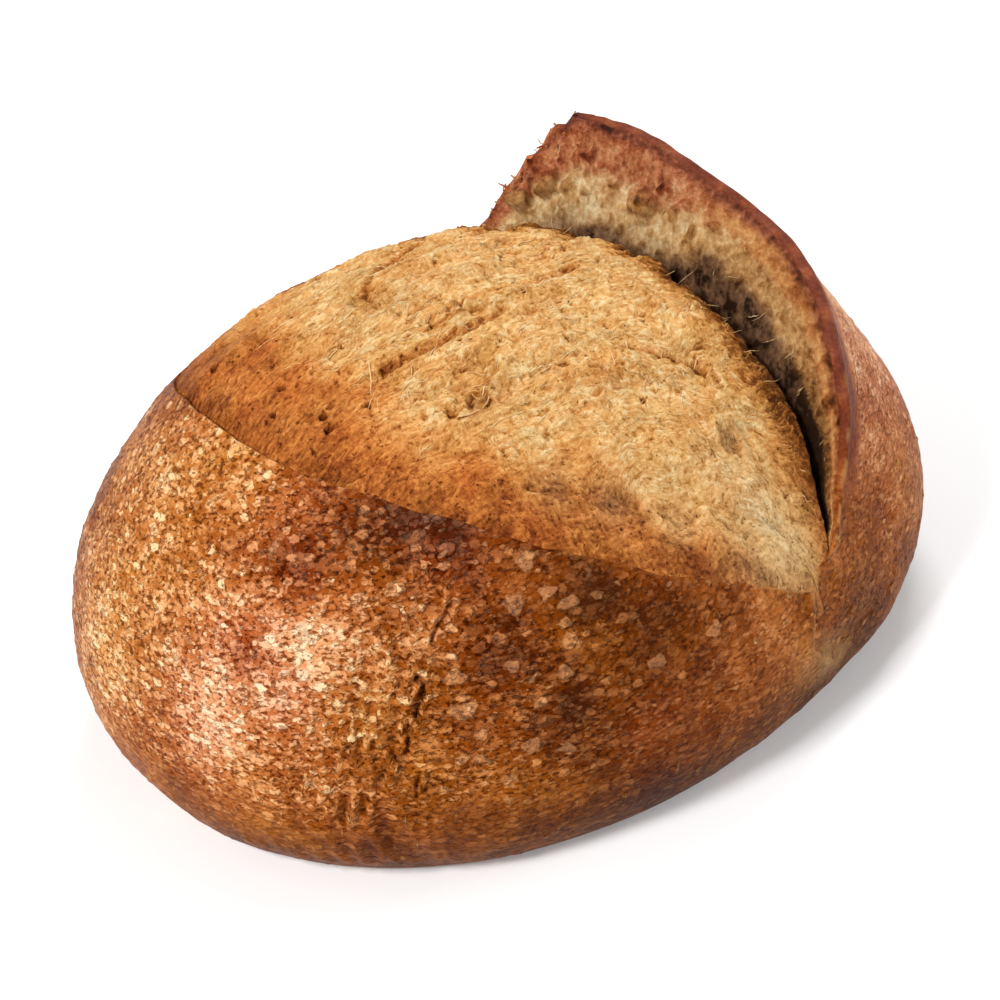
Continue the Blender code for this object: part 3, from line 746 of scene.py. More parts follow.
def doughSurface(angle, share):
    # the dome's height swelled in the middle and let down towards the crevice, with sheets torn off one over
    # the other (a noise cut into levels), strands, creases, pockets and holes
    radius = openingRadius(angle)
    plan = polar(angle, radius * share, 0, form["middle"])
    x, y = plan[..., 0], plan[..., 1]
    deep = creviceShare(angle)
    past = np.clip((share - doughLook["shoulderStart"]) / (1 - doughLook["shoulderStart"]), 0, 1.2)
    height = domeHeight(x, y) + doughLook["swell"] * (1 - np.clip(share, 0, 1) ** 2)
    height = height - doughLook["shoulderFall"] * deep * past**3
    lipSide = 1 - rise(0, 0.15, deep + 0.3 * onEarSide(angle))
    height = height - lipSide * (0.0002 + 0.0018 * rise(1.0, 1.03, share))
    farSide = fall(turnFrom(math.radians(143), angle), 0, math.radians(30))
    height = height - 0.0026 * farSide * rise(0.93, 1.0, share)
    along, across = fibreWay(plan)
    lying = lambda stretch: np.stack([along / stretch, across, 0 * along], axis=-1)
    band, pastBand = bandShare(angle, share)
    calm = 1 - 0.8 * band
    level = 2.4 * softNoise(lying(3.5), 0.009, 75, 4) + 0.5 * softNoise(plan, 0.03, 76)
    sheets = np.floor(level) + rise(0.4, 0.6, level % 1) + 0.5 * level
    strands = (1 - np.abs(softNoise(lying(7), 0.0021, 71))) ** 5 + 0.6 * (1 - np.abs(softNoise(lying(5), 0.0012, 73))) ** 5
    strands = strands * rise(-0.3, 0.5, softNoise(plan, 0.02, 79, 2) + 0.3)
    felt = softNoise(plan, 0.0022, 77, 2)
    specks, own = scatter(plan + 0.0008 * felt[..., None], 0.0034, 78)
    speck = rise(0.34, 0.14, specks) * (own < 0.35)
    relief = doughLook["sheet"] * sheets * (0.35 + 0.65 * calm) + calm * 0.35 * strands + doughLook["felt"] * felt * (0.4 + 0.6 * calm)
    relief = relief - 0.7 * speck - 0.3
    scarp = fall(turnFrom(math.radians(-125), angle), 0, math.radians(38))
    relief = relief - 0.9 * scarp * rise(-0.11, -0.085, pastBand) * rise(0.05, -0.02, pastBand)
    hollow = np.zeros_like(relief)
    for px, py, halfLong, halfWide, depth, turned in pockets:
        c, s = math.cos(math.radians(turned)), math.sin(math.radians(turned))
        offX, offY = x - px * mm, y - py * mm
        out = np.hypot((offX * c + offY * s) / halfLong, (-offX * s + offY * c) / halfWide) / mm
        out = out + 0.16 * felt
        relief = relief - 1.4 * depth * rise(1.0, 0.7, out) + 0.6 * abs(depth) * fall(out, 1.12, 0.14)
        hollow = np.maximum(hollow, np.sign(depth) * rise(1.05, 0.8, out))
    crease = np.zeros_like(relief)
    up = np.array([0, 0, 1])
    flat = plan * np.array([1, 1, 0])
    for path, wide, depth, step in creases:
        off, _ = alongPath(flat + 0.0006 * felt[..., None] * np.array([1, 1, 0]), up, [(*place, 0) for place in path])
        near = fall(off, 0, 3.5 * wide * mm)
        relief = relief - 1.3 * depth * fall(off, 0, wide * mm) + 1.5 * step * near * (rise(-0.0002, 0.0002, off) - 0.5)
        crease = np.maximum(crease, min(abs(depth), 1) * np.sign(depth) * fall(off, 0, wide * mm))
    pit = np.zeros_like(relief)
    for px, py, size, depth in holes:
        out = np.hypot(x - px * mm, (y - py * mm)) / (size * mm) + 0.15 * felt
        relief = relief - depth * rise(1.0, 0.6, out) + 0.3 * fall(out, 1.25, 0.2)
        pit = np.maximum(pit, rise(1.0, 0.7, out))
    relief = relief * rise(1.02, 0.98, share)
    shades = {"sheets": level % 1, "strands": strands, "felt": felt, "speck": speck, "hollow": hollow, "pit": pit,
              "crease": crease, "band": band}
    return x, y, height + relief * mm, along, across, shades


def makeDough():
    side = doughLook["side"]
    line = np.linspace(-1, 1, side + 1)
    a, b = np.meshgrid(line, line, indexing="ij")
    # a square grid folded onto the opening: each square ring of the grid becomes a ring of the opening
    ring = np.maximum(np.abs(a), np.abs(b))
    wide = np.abs(a) >= np.abs(b)
    turn = np.where(wide, math.pi / 4 * b / np.where(a == 0, 1, a), math.pi / 2 - math.pi / 4 * a / np.where(b == 0, 1, b))
    angle = turnFrom(0, turn + math.pi * (np.where(wide, a, b) < 0))
    angle = np.where(angle > tipAngle("farTip") + 2 * math.pi, angle - 2 * math.pi, angle)
    keys = cutKeys(angle)
    deep = creviceShare(angle)
    radius = openingRadius(angle)
    ragged = 0.0016 * circleNoise(angle, 0.006, 85, 3) * rise(0.0, 0.3, deep)
    toEar = (radius + 0.001 + ragged - 0.75 * keys["width"] * rise(0.0, 0.2, deep)) / radius
    reach = np.where(onEarSide(angle), toEar, 1 + 0.0025 / radius)
    x, y, z, along, across, shades = doughSurface(angle, ring * reach)
    top = np.stack([x, y, z], axis=-1)
    steps = np.arange(side)
    full = np.full(side, side)
    walk = np.concatenate([np.stack([steps, 0 * steps], -1), np.stack([full, steps], -1),
                           np.stack([side - steps, full], -1), np.stack([0 * steps, side - steps], -1)])
    rim = top[walk[:, 0], walk[:, 1]]
    middle = np.append(form["middle"], 0.06)
    inward = (middle - rim) * np.array([1, 1, 0])
    inward = inward / np.linalg.norm(inward, axis=-1, keepdims=True)
    down = np.array([0, 0, -1])
    below = [rim + inward * a0 + down * b0 for a0, b0 in ((0.0002, 0.0015), (0.001, 0.006), (0.004, 0.016), (0.02, 0.035))]
    points = np.concatenate([top.reshape(-1, 3), *below, middle[None] - [[0, 0, 0.03]]])
    index = np.arange((side + 1) ** 2).reshape(side + 1, side + 1)
    quads = np.stack([index[:-1, :-1], index[1:, :-1], index[1:, 1:], index[:-1, 1:]], axis=-1).reshape(-1, 4)
    loop = index[walk[:, 0], walk[:, 1]]
    faces = quads.tolist()
    for k in range(len(below)):
        lower = (side + 1) ** 2 + k * len(walk) + np.arange(len(walk))
        faces += np.stack([loop, lower, np.roll(lower, -1), np.roll(loop, -1)], axis=-1).tolist()
        loop = lower
    faces += np.stack([loop, 0 * loop + len(points) - 1, np.roll(loop, -1)], axis=-1).tolist()

    band = shades["band"]
    browner = patches(top, [(-58, 30, 115, 9, 0.7), (-47, 12, 125, 5, 0.5), (-62, 8, 118, 12, 0.3), (-52, -20, 121, 12, 0.5),
                            (-42, -14, 126, 6, 0.5), (41, -60, 99, 6, 0.4), (-26, 10, 129, 7, 0.3), (5, -52, 117, 6, 0.3),
                            (-35, -42, 120, 7, 0.3), (-10, 22, 129, 10, 0.3), (-45, -62, 106, 12, 0.4), (-10, -50, 117, 7, 0.3)])
    step = shades["sheets"]
    # painted light and shade at each torn sheet's step: a paler line along its top, a darker one at its foot
    tone = 0.65 + 0.12 * fall(step, 0.64, 0.09) - 0.16 * fall(step, 0.40, 0.07) + 0.08 * (shades["strands"] - 0.5) + 0.09 * shades["felt"]
    tone += 0.06 * softNoise(top, 0.02, 81, 2) - 0.25 * browner
    tone -= 0.19 * band + 0.20 * band * rise(0.72, 1.0, ring)
    # painted shade: darker in pockets, holes, small pits and creases, paler on raised bumps and ridges
    tone -= 0.12 * shades["hollow"] + 0.45 * shades["pit"] + 0.22 * shades["speck"] * (1 - 0.5 * band) + 0.32 * shades["crease"]
    # painted shade on the shoulder where it falls into the crevice
    tone -= 0.6 * rise(0.0, 0.5, deep) * rise(0.76, 0.97, ring)
    orange = 0.12 + 0.65 * band + 0.25 * softNoise(top, 0.012, 83, 3) + 0.6 * (shades["hollow"] < -0.2) + 0.6 * browner
    orange += 0.4 * shades["crease"]
    # painted shade, greyed: in the deeper pockets and along the edge over the crevice
    grey = patches(top, [(-18, -81, 95, 8, 0.7), (-32, -72, 102, 7, 0.5), (31, -75, 90, 4, 0.6), (-35, -44, 119, 4, 0.4)])
    grey = np.maximum(grey, 0.5 * rise(0.3, 0.9, deep) * rise(0.93, 1.0, ring))
    cream = patches(top, [(25, -97, 65, 17, 0.9), (-2, -89, 84, 8, 0.5), (31, -98, 60, 12, 0.9), (24, -84, 80, 12, 0.4)])
    extra = len(points) - top[..., 0].size
    fill = lambda values, number: np.concatenate([values.ravel(), np.full(extra, number)])
    marks = {"tone": fill(tone, 0.3), "orange": fill(np.clip(orange, 0, 1), 0.2), "grey": fill(grey, 0.6),
             "cream": fill(cream, 0), "band": fill(band, 0)}
    uv = np.stack([fill(along, 0), fill(across, 0)], axis=-1)
    return newPiece("swelledDough", inBox(points), faces, tornDough(), marks, uv)


def tornDough():
    # dough that swelled and tore open while baking: dry matt fibres and felt, straw-gold on browner ground
    material, tree, shader = newMaterial("tornDough")
    add = lambda kind, inputs, **settings: addNode(tree, kind, inputs, **settings)
    where = add("TexCoord", {}).outputs["Object"]
    uv = add("UVMap", {}, uv_map="fibres").outputs[0]
    mark = {name: add("Attribute", {}, attribute_name=name).outputs["Fac"]
            for name in ("tone", "orange", "grey", "cream", "band")}
    warp = add("TexNoise", {"Vector": where, "Scale": 260, "Detail": 3}).outputs["Color"]
    threads = []
    for across, alongStretch, twist in ((1.3, 9, 0.0020), (0.8, 6, 0.0030)):  # mm between threads, length in widths
        bent = add("VectorMath", {0: warp, 1: (twist, twist, 0), 2: uv}, operation="MULTIPLY_ADD").outputs[0]
        stretched = add("Mapping", {"Vector": bent, "Scale": (1000 / across / alongStretch, 1000 / across, 1)}).outputs[0]
        noise = add("TexNoise", {"Vector": stretched, "Scale": 1.0, "Detail": 2, "Roughness": 0.5}).outputs["Fac"]
        off = add("Math", {0: noise, 1: 0.5}, operation="SUBTRACT").outputs[0]
        ridge = add("Math", {0: off}, operation="ABSOLUTE").outputs[0]
        threads.append(add("MapRange", {"Value": ridge, "From Min": 0.035, "From Max": 0.0},
                           interpolation_type="SMOOTHSTEP").outputs[0])
    thread = add("Math", {0: threads[0], 1: threads[1]}, operation="MAXIMUM").outputs[0]
    patch = add("TexNoise", {"Vector": where, "Scale": 130, "Detail": 2}).outputs["Fac"]
    patch = add("Math", {0: mark["band"], 1: -0.25, 2: patch}, operation="MULTIPLY_ADD").outputs[0]
    patch = add("MapRange", {"Value": patch, "From Min": 0.4, "From Max": 0.6}).outputs[0]
    thread = add("Math", {0: thread, 1: patch}, operation="MULTIPLY").outputs[0]
    stretched = add("Mapping", {"Vector": uv, "Scale": (190, 980, 1)}).outputs[0]
    streak = add("TexNoise", {"Vector": stretched, "Scale": 1.0, "Detail": 6, "Roughness": 0.7}).outputs["Fac"]
    leathery = add("Math", {0: mark["band"], 1: 0.65}, operation="MULTIPLY").outputs[0]
    streak = add("Mix", {0: leathery, 2: streak, 3: 0.5}).outputs[0]
    grain = add("TexNoise", {"Vector": where, "Scale": 850, "Detail": 5, "Roughness": 0.75}).outputs["Fac"]
    cloud = add("TexNoise", {"Vector": where, "Scale": 120, "Detail": 4, "Roughness": 0.6}).outputs["Fac"]
    # small pits, sunk in the bump and painted darker: painted shade
    speck = add("TexNoise", {"Vector": where, "Scale": 640, "Detail": 3, "Roughness": 0.5}).outputs["Fac"]
    speck = add("MapRange", {"Value": speck, "From Min": 0.37, "From Max": 0.31}, interpolation_type="SMOOTHSTEP").outputs[0]
    tone = mark["tone"]
    for layer, weight in ((thread, 0.26), (streak, 1.15), (grain, 1.0), (cloud, 0.5), (speck, -0.25)):
        tone = add("Math", {0: layer, 1: weight, 2: tone}, operation="MULTIPLY_ADD").outputs[0]
    tone = add("MapRange", {"Value": tone, "From Min": 1.34, "From Max": 2.30}).outputs[0]
    straw = setRamp(add("ValToRGB", {"Fac": tone}), ((0.0, "#552a0a"), (0.25, "#945a20"), (0.5, "#cb914c"),
                                                  (0.75, "#e5b472"), (1.0, "#f7dba4")))
    amber = setRamp(add("ValToRGB", {"Fac": tone}), ((0.0, "#5a2208"), (0.25, "#94481a"), (0.5, "#c47232"),
                                                  (0.75, "#e09a55"), (1.0, "#f2c68c")))
    ground = add("Mix", {0: mark["orange"], 6: straw, 7: amber}, data_type="RGBA").outputs[2]
    # the grey mark mixes in this shaded ramp: painted shade
    shaded = setRamp(add("ValToRGB", {"Fac": tone}), ((0.0, "#3a2415"), (0.5, "#a4764a"), (1.0, "#dab88a")))
    greyed = add("Mix", {0: mark["grey"], 6: ground, 7: shaded}, data_type="RGBA").outputs[2]
    pale = setRamp(add("ValToRGB", {"Fac": tone}), ((0.0, "#6c4820"), (0.5, "#d8b076"), (1.0, "#f6e4b8")))
    creamy = add("Mix", {0: mark["cream"], 6: greyed, 7: pale}, data_type="RGBA").outputs[2]
    tree.links.new(creamy, shader.inputs["Base Color"])
    height = add("Math", {0: thread, 1: 0.3}, operation="MULTIPLY").outputs[0]
    height = add("Math", {0: grain, 1: 1.2, 2: height}, operation="MULTIPLY_ADD").outputs[0]
    height = add("Math", {0: streak, 1: 1.3, 2: height}, operation="MULTIPLY_ADD").outputs[0]
    height = add("Math", {0: speck, 1: -0.8, 2: height}, operation="MULTIPLY_ADD").outputs[0]
    bump = add("Bump", {"Height": height, "Strength": 0.9, "Distance": 0.0007})
    tree.links.new(bump.outputs[0], shader.inputs["Normal"])
    shader.inputs["Roughness"].default_value = 0.6
    shader.inputs["Specular IOR Level"].default_value = 0.12
    shader.inputs["Specular Tint"].default_value = hexColour("#ffd8a8")
    return material


# the ear's torn inner face and the crevice under it

earLook = {
    "columns": 620,
    "shownRows": 112,
    "deepRows": 22,
    "hiddenRows": 8,
    "sponge": 3.0,
    "pits": 2.0,
}
caves = [(52, 34, 130, 6.5, 1.0), (48, 40, 122, 5, 0.8), (69, 3, 126, 6, 0.9), (72, -3, 121, 3.5, 0.7), (61, 20, 127, 3, 0.7),
         (78, -22, 118, 3, 0.5)]


def makeEarInside():
    near, far = tipAngle("nearTip"), tipAngle("farTip")
    angle = np.linspace(near, far, earLook["columns"])
    keys = cutKeys(angle)
    places = np.concatenate([np.linspace(0, 0.55, earLook["shownRows"]), np.linspace(0.56, 1, earLook["deepRows"])])
    sections = [keys["inner"], keys["brow"], keys["foot"], keys["bottomOuter"], keys["bottomInner"]]
    shown = raised(angle, through(sections, places))
    wide = np.gradient(shown, axis=1)
    normals = np.cross(np.gradient(shown, axis=0), wide)
    normals /= np.linalg.norm(normals, axis=-1, keepdims=True) + 1e-12
    down = places[:, None] + 0 * angle
    turned = angle + 0 * down
    # bands from the rim down: smooth burnt skin, red-brown sponge, cream crumb, then the hollow, painted grey-brown as
    # painted shade
    ragged = 0.030 * softNoise(shown, 0.012, 91, 3)
    torn = rise(math.radians(-12), math.radians(12), turned)
    rim = rise(0.13, 0.02, down + 0.8 * ragged) * rise(0.74, 0.60, turned)
    rim = rim * (0.3 + 0.7 * rise(math.radians(-50), math.radians(-30), turned))
    crumb = rise(0.15 + 0.07 * torn, 0.23 + 0.09 * torn, down + ragged)
    hollow = rise(0.29 + 0.07 * torn, 0.38 + 0.08 * torn, down + 1.3 * ragged)
    bent = np.stack([softNoise(shown, 0.004, k, 2) for k in (101, 103, 105)], axis=-1)
    rough = softNoise(shown, 0.0075, 93, 3)
    knots = 1 - np.abs(softNoise(shown + 0.0012 * bent, 0.0055, 95, 3))
    tufts = 1 - np.abs(softNoise(shown * np.array([1, 1, 0.4]), 0.0024, 99, 2))
    pits, own = scatter((shown + 0.0016 * bent) * np.array([1, 1, 0.7]), 0.0055, 97)
    pit = rise(0.46, 0.2, pits) * (own < 0.38)
    sponge = (1 - rim) * (0.35 + 0.65 * (1 - hollow)) * (0.65 + 0.5 * torn * (1 - crumb))
    relief = earLook["sponge"] * sponge * (0.5 * rough + 0.8 * (knots - 0.65) + 0.4 * (tufts - 0.6))
    relief -= earLook["pits"] * pit * sponge
    cave = patches(shown + 0.0012 * bent, caves)
    cave = rise(0.25, 0.75, cave)
    relief = relief - 6.5 * cave + 0.3 * rim * rise(0.0, 0.02, down)
    fade = rise(near, near + 0.25, angle) * rise(far, far - 0.2, angle)
    shown = shown + normals * (relief * fade * rise(0.0, 0.03, down) * mm)[..., None]
    thin = (0.15 + 0.85 * rise(0.0, 0.5, creviceShare(angle)))[:, None]
    into = lambda key, across, up: keys[key] + np.array([across, up]) * thin
    hiddenKeys = [into("bottomInner", 0, -0.004), into("bottomOuter", 0.003, -0.005), into("foot", 0.0055, -0.003),
                  into("brow", 0.0035, -0.002), into("inner", 0.0012, -0.0012)]
    hidden = raised(angle, through(hiddenKeys, np.linspace(0, 1, earLook["hiddenRows"])))
    rings = np.swapaxes(np.concatenate([shown, hidden]), 0, 1)[:, ::-1]
    ends = [ring.mean(axis=1, keepdims=True) + 0 * ring for ring in (rings[:1], rings[-1:])]
    rows = np.concatenate([ends[0], rings, ends[1]])
    # painted light and shade: raised knots and tufts paler; pits, caves and the hollow darker
    tone = 0.34 + 0.20 * rise(0.02, 0.14, down + ragged) + 0.12 * rough + 0.28 * (knots - 0.65) - 0.3 * pit
    tone += 0.10 * crumb - 0.20 * hollow - 0.35 * cave + 0.2 * (tufts - 0.6)
    tone -= 0.22 * crumb * (1 - torn) + 0.3 * rise(0.12, 0.2, down) * rise(math.radians(-22), math.radians(-42), turned)

    def along(values, number):
        whole = np.concatenate([values, np.full((earLook["hiddenRows"], values.shape[1]), number)])
        whole = np.swapaxes(whole, 0, 1)[:, ::-1]
        return poled(np.concatenate([whole[:1], whole, whole[-1:]]))

    marks = {"tone": along(tone, 0.2), "crumb": along(crumb, 0), "hollow": along(hollow, 1), "rim": along(rim, 0),
             "torn": along(torn, 0)}
    return newPiece("earInside", inBox(poled(rows)), ringFaces(*rows.shape[:2]), tornCrumb(), marks)


def tornCrumb():
    # the ear's torn underside: burgundy skin at the rim, then red-brown sponge, then pale crumb, in shade below
    material, tree, shader = newMaterial("tornCrumb")
    add = lambda kind, inputs, **settings: addNode(tree, kind, inputs, **settings)
    where = add("TexCoord", {}).outputs["Object"]
    mark = {name: add("Attribute", {}, attribute_name=name).outputs["Fac"]
            for name in ("tone", "crumb", "hollow", "rim", "torn")}
    grain = add("TexNoise", {"Vector": where, "Scale": 700, "Detail": 6, "Roughness": 0.75}).outputs["Fac"]
    upright = add("Mapping", {"Vector": where, "Scale": (1, 1, 0.35)}).outputs[0]
    tuft = add("TexNoise", {"Vector": upright, "Scale": 520, "Detail": 5, "Roughness": 0.7}).outputs["Fac"]
    patch = add("TexNoise", {"Vector": where, "Scale": 200, "Detail": 4, "Roughness": 0.6}).outputs["Fac"]
    tone = mark["tone"]
    for layer, weight in ((grain, 0.8), (tuft, 0.7), (patch, 0.5)):
        tone = add("Math", {0: layer, 1: weight, 2: tone}, operation="MULTIPLY_ADD").outputs[0]
    tone = add("MapRange", {"Value": tone, "From Min": 1.06, "From Max": 1.94}).outputs[0]
    red = setRamp(add("ValToRGB", {"Fac": tone}), ((0.0, "#3c150b"), (0.2, "#77321a"), (0.45, "#ac5f3a"),
                                                (0.7, "#cf8c5e"), (1.0, "#eabf90")))
    tan = setRamp(add("ValToRGB", {"Fac": tone}), ((0.0, "#52250e"), (0.25, "#9a5528"), (0.5, "#bf7c46"),
                                                (0.75, "#d9a263"), (1.0, "#eec896")))
    brown = add("Mix", {0: mark["torn"], 6: tan, 7: red}, data_type="RGBA").outputs[2]
    pale = setRamp(add("ValToRGB", {"Fac": tone}), ((0.0, "#5a3518"), (0.3, "#a87440"), (0.6, "#d4a66c"),
                                                 (1.0, "#f4deb0")))
    shade = setRamp(add("ValToRGB", {"Fac": tone}), ((0.0, "#24130a"), (0.4, "#74523a"), (1.0, "#ba9670")))
    burgundy = setRamp(add("ValToRGB", {"Fac": tone}), ((0.0, "#300f0a"), (0.35, "#66301f"), (0.6, "#904e38"), (1.0, "#b37860")))
    ground = add("Mix", {0: mark["crumb"], 6: brown, 7: pale}, data_type="RGBA").outputs[2]
    deepened = add("Mix", {0: mark["hollow"], 6: ground, 7: shade}, data_type="RGBA").outputs[2]
    rimmed = add("Mix", {0: mark["rim"], 6: deepened, 7: burgundy}, data_type="RGBA").outputs[2]
    tree.links.new(rimmed, shader.inputs["Base Color"])
    calm = add("MapRange", {"Value": mark["rim"], "To Min": 1.0, "To Max": 0.25}).outputs[0]
    height = add("Math", {0: grain, 1: tuft}, operation="ADD").outputs[0]
    height = add("Math", {0: height, 1: calm}, operation="MULTIPLY").outputs[0]
    bump = add("Bump", {"Height": height, "Strength": 0.9, "Distance": 0.0014})
    tree.links.new(bump.outputs[0], shader.inputs["Normal"])
    smooth = add("MapRange", {"Value": mark["rim"], "To Min": 0.62, "To Max": 0.42}).outputs[0]
    tree.links.new(smooth, shader.inputs["Roughness"])
    shader.inputs["Specular IOR Level"].default_value = 0.15
    shader.inputs["Specular Tint"].default_value = hexColour("#ffd8a8")
    return material


# loose fibres: threads lying on the torn dough, hairs on both sides of the crevice, splinters at the torn end

fibreLook = {
    "lying": 260,
    "lyingLength": (0.004, 0.013),
    "hairs": 60,
    "splinters": 60,
    "radius": (0.00014, 0.00030),
    "segments": 8,
    "sides": 3,
}


def tubes(lines, radii):
    # closed thin shells round centre lines, pointed at both ends: rings of corners between two poles
    count, steps = lines.shape[:2]
    tangent = np.gradient(lines, axis=1)
    tangent /= np.linalg.norm(tangent, axis=-1, keepdims=True) + 1e-12
    side = np.cross(tangent, np.array([0.31, 0.17, 0.93]))
    side /= np.linalg.norm(side, axis=-1, keepdims=True) + 1e-12
    other = np.cross(tangent, side)
    turn = np.arange(fibreLook["sides"]) * 2 * math.pi / fibreLook["sides"]
    thick = radii[:, None, None, None] * np.sin(np.linspace(0, math.pi, steps))[None, :, None, None] ** 0.6
    around = side[:, :, None] * np.cos(turn)[:, None] + other[:, :, None] * np.sin(turn)[:, None]
    rings = lines[:, :, None] + thick * around
    points = np.concatenate([poled(one) for one in rings])
    single = ringFaces(steps, fibreLook["sides"])
    stride = len(points) // count
    faces = [[corner + stride * k for corner in face] for k in range(count) for face in single]
    return points, faces


def bentLines(roots, ways, lengths, curl, random):
    # from each root along its way, bending off to a random side as the square of the share walked, and a wave
    steps = np.linspace(0, 1, fibreLook["segments"])[None, :, None]
    bend = random.normal(0, 1, (len(roots), 1, 3)) * curl
    wave = random.normal(0, 1, (len(roots), 1, 3)) * curl * 0.35
    phase = random.uniform(2, 5, (len(roots), 1, 1))
    walked = ways[:, None] * steps + bend * steps**2 + wave * np.sin(phase * math.pi * steps) * steps
    return roots[:, None] + lengths[:, None, None] * walked


def makeFibres():
    random = np.random.default_rng(7)
    lines, radii = [], []
    # lying on the dough, along its grain, the middle lifted a little
    count = fibreLook["lying"]
    angle = random.uniform(-math.pi, math.pi, count)
    share = np.sqrt(random.uniform(0.0, 0.40, count))
    start = polar(angle, openingRadius(angle) * share, 0, form["middle"])
    heading = doughLook["fibreTurn"] + random.normal(0, 0.45, count) + math.pi * random.integers(0, 2, count)
    ways = polar(heading, 1.0, 0)
    lengths = random.uniform(*fibreLook["lyingLength"], count) * (1 - 0.5 * rise(0.0, 0.05, start[:, 0]))
    line = bentLines(start, ways, lengths, 0.16, random)
    offset = line[..., :2] - form["middle"]
    turned = np.arctan2(offset[..., 1], offset[..., 0])
    away = np.minimum(np.hypot(offset[..., 0], offset[..., 1]) / openingRadius(turned), 0.96)
    x, y, z, *_ = doughSurface(turned, away)
    lift = random.uniform(-0.15, 0.25, (count, 1)) * mm * np.sin(np.linspace(0.2, 2.9, fibreLook["segments"]))
    lines.append(np.stack([x, y, z + lift], axis=-1))
    radii.append(random.uniform(*fibreLook["radius"], count))
    # hairs hanging from the ear's crumb, and standing on the dough's edge below it
    near = tipAngle("nearTip")
    count = fibreLook["hairs"]
    angle = random.uniform(near + 0.25, math.radians(48), count)
    keys = cutKeys(angle)
    sections = [keys["inner"], keys["brow"], keys["foot"], keys["bottomOuter"], keys["bottomInner"]]
    places = np.linspace(0.17, 0.36, 20)
    face = raised(angle, through(sections, places))[random.integers(0, 20, count), np.arange(count)]
    inward = polar(angle, -1.0, 0)
    ways = 0.6 * inward + np.array([0, 0, -0.5]) + random.normal(0, 0.35, (count, 3))
    lines.append(bentLines(face, ways, random.uniform(0.0015, 0.006, count), 0.25, random))
    radii.append(random.uniform(0.00008, 0.00018, count))
    angle = random.uniform(near + 0.1, math.radians(60), count)
    x, y, z, *_ = doughSurface(angle, random.uniform(0.80, 0.93, count))
    ways = 0.6 * polar(angle, 1.0, 0) + np.array([0, 0, 0.05]) + random.normal(0, 0.5, (count, 3))
    lines.append(bentLines(np.stack([x, y, z - 0.0004], axis=-1), ways, random.uniform(0.0015, 0.0045, count), 0.4, random))
    radii.append(random.uniform(0.00008, 0.00018, count))
    # splinters and knots where the ear's end is torn
    count = fibreLook["splinters"]
    angle = random.uniform(math.radians(33), math.radians(62), count)
    keys = cutKeys(angle)
    sections = [keys["outer"], keys["inner"], keys["brow"]]
    face = raised(angle, through(sections, np.linspace(0.1, 0.8, 12)))[random.integers(0, 12, count), np.arange(count)]
    ways = polar(angle + 0.9, 0.7, 0.5) + random.normal(0, 0.5, (count, 3))
    lines.append(bentLines(face, ways, random.uniform(0.0006, 0.0020, count), 0.5, random))
    radii.append(random.uniform(0.00015, 0.0005, count))
    lengthwise = np.concatenate(lines)
    points, faces = tubes(lengthwise, np.concatenate(radii))
    each = len(points) // len(lengthwise)
    kinds = np.repeat([0, 1, 2, 3], [len(part) for part in lines])
    spread = lambda values: np.repeat(values, each)
    jitter = random.normal(0, 0.07, len(lengthwise))
    tone = np.array([0.80, 0.72, 0.66, 0.5])[kinds] + jitter
    marks = {"tone": spread(tone), "orange": spread(np.array([0.2, 0.1, 0.2, 1.0])[kinds]),
             "grey": spread(0 * tone), "cream": spread(np.array([0.1, 0.5, 0.2, 0.0])[kinds]), "band": spread(0 * tone)}
    return newPiece("looseFibres", inBox(points), faces, bpy.data.materials["tornDough"], marks, np.zeros((len(points), 2)))


makeCrust()
print("crust made")
makeDough()
print("swelled dough made")
makeEarInside()
print("inside of the ear made")
makeFibres()
print("fibres made")


# floor, light and camera

studio = {
    "azimuth": math.radians(-34.6),
    "elevation": math.radians(33),
    "roll": math.radians(7),
    "distance": 0.87,
    "lens": 100,
    "target": Vector((-0.0005, 0, 0.05)),
    "sky": 0.32,
    "key": 18,
    "top": 12,
    "fill": 6,
}


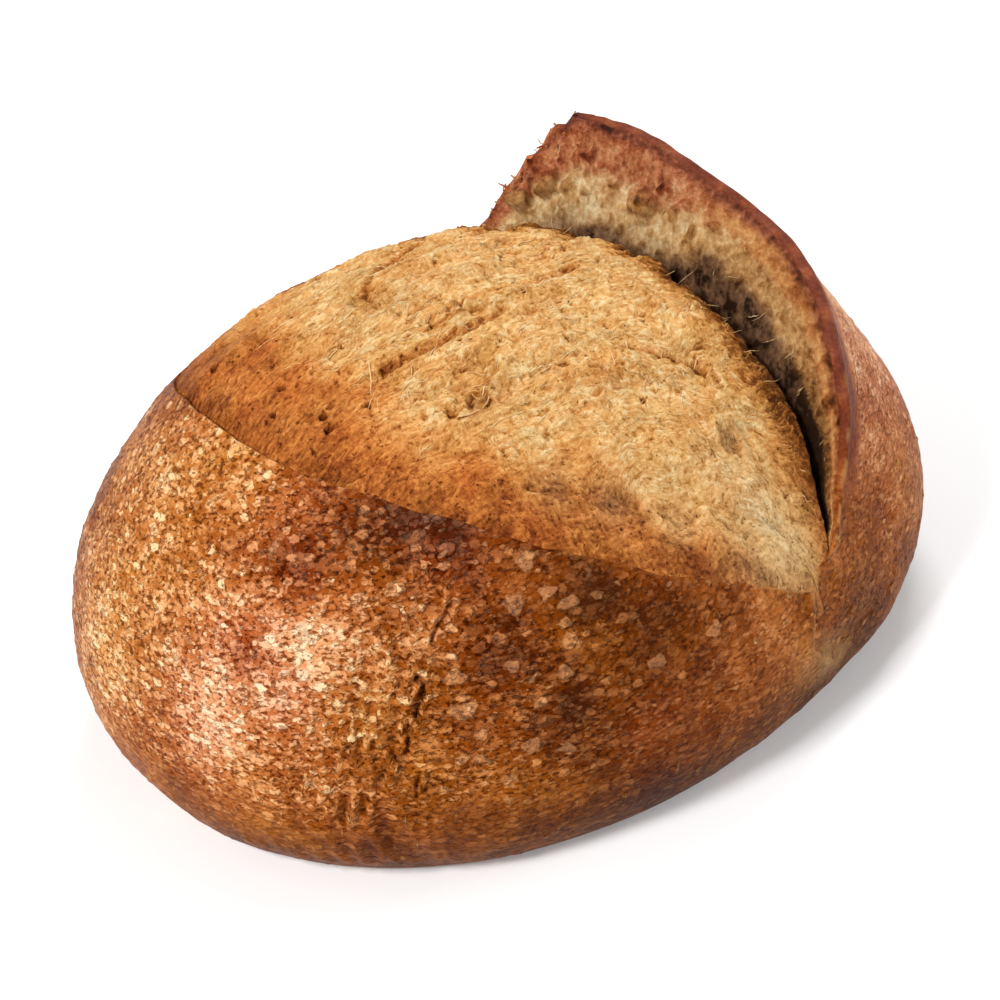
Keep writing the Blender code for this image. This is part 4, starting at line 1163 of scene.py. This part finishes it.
def makeFloor():
    # matt white paper, bright enough that shadows on it stay faint
    mesh = bpy.data.meshes.new("floor")
    half = 3.0
    mesh.from_pydata([(-half, -half, 0), (half, -half, 0), (half, half, 0), (-half, half, 0)], [], [(0, 1, 2, 3)])
    material, tree, shader = newMaterial("whitePaper")
    shader.inputs["Base Color"].default_value = hexColour("#e8e8e8")
    shader.inputs["Roughness"].default_value = 0.9
    shader.inputs["Emission Color"].default_value = (1, 1, 1, 1)
    shader.inputs["Emission Strength"].default_value = 0.2
    mesh.materials.append(material)
    floor = bpy.data.objects.new("floor", mesh)
    bpy.context.scene.collection.objects.link(floor)
    floor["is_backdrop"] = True


def makeLight(name, place, size, power, colour="#ffffff"):
    data = bpy.data.lights.new(name, "AREA")
    data.energy = power
    data.size = size
    data.color = hexColour(colour)[:3]
    light = bpy.data.objects.new(name, data)
    light.location = place
    light.rotation_euler = (Vector((0, 0, 0.05)) - Vector(place)).to_track_quat("-Z", "Y").to_euler()
    bpy.context.scene.collection.objects.link(light)


def makeCamera():
    a, e, r = studio["azimuth"], studio["elevation"], studio["roll"]
    back = Vector((math.sin(a) * math.cos(e), -math.cos(a) * math.cos(e), math.sin(e)))
    levelRight = Vector((math.cos(a), math.sin(a), 0))
    levelUp = back.cross(levelRight)
    right = levelRight * math.cos(r) - levelUp * math.sin(r)
    up = levelRight * math.sin(r) + levelUp * math.cos(r)
    data = bpy.data.cameras.new("camera")
    data.lens = studio["lens"]
    data.clip_start, data.clip_end = 0.01, 20
    camera = bpy.data.objects.new("camera", data)
    turned = Matrix((right, up, back)).transposed().to_4x4()
    camera.matrix_world = Matrix.Translation(studio["target"] + back * studio["distance"]) @ turned
    bpy.context.scene.collection.objects.link(camera)
    bpy.context.scene.camera = camera


def makeWorld():
    world = bpy.data.worlds.new("studio")
    world.use_nodes = True
    sky = world.node_tree.nodes["Background"]
    sky.inputs["Color"].default_value = (1, 1, 1, 1)
    sky.inputs["Strength"].default_value = studio["sky"]
    bpy.context.scene.world = world
    bpy.context.scene.view_settings.view_transform = "Standard"


makeFloor()
makeWorld()
makeLight("key", (-1.0, -0.30, 0.95), 0.35, studio["key"])
makeLight("top", (0.65, 0.45, 1.2), 0.6, studio["top"])
makeLight("fill", (1.1, -0.7, 0.55), 0.6, studio["fill"])
makeCamera()
print("studio made")
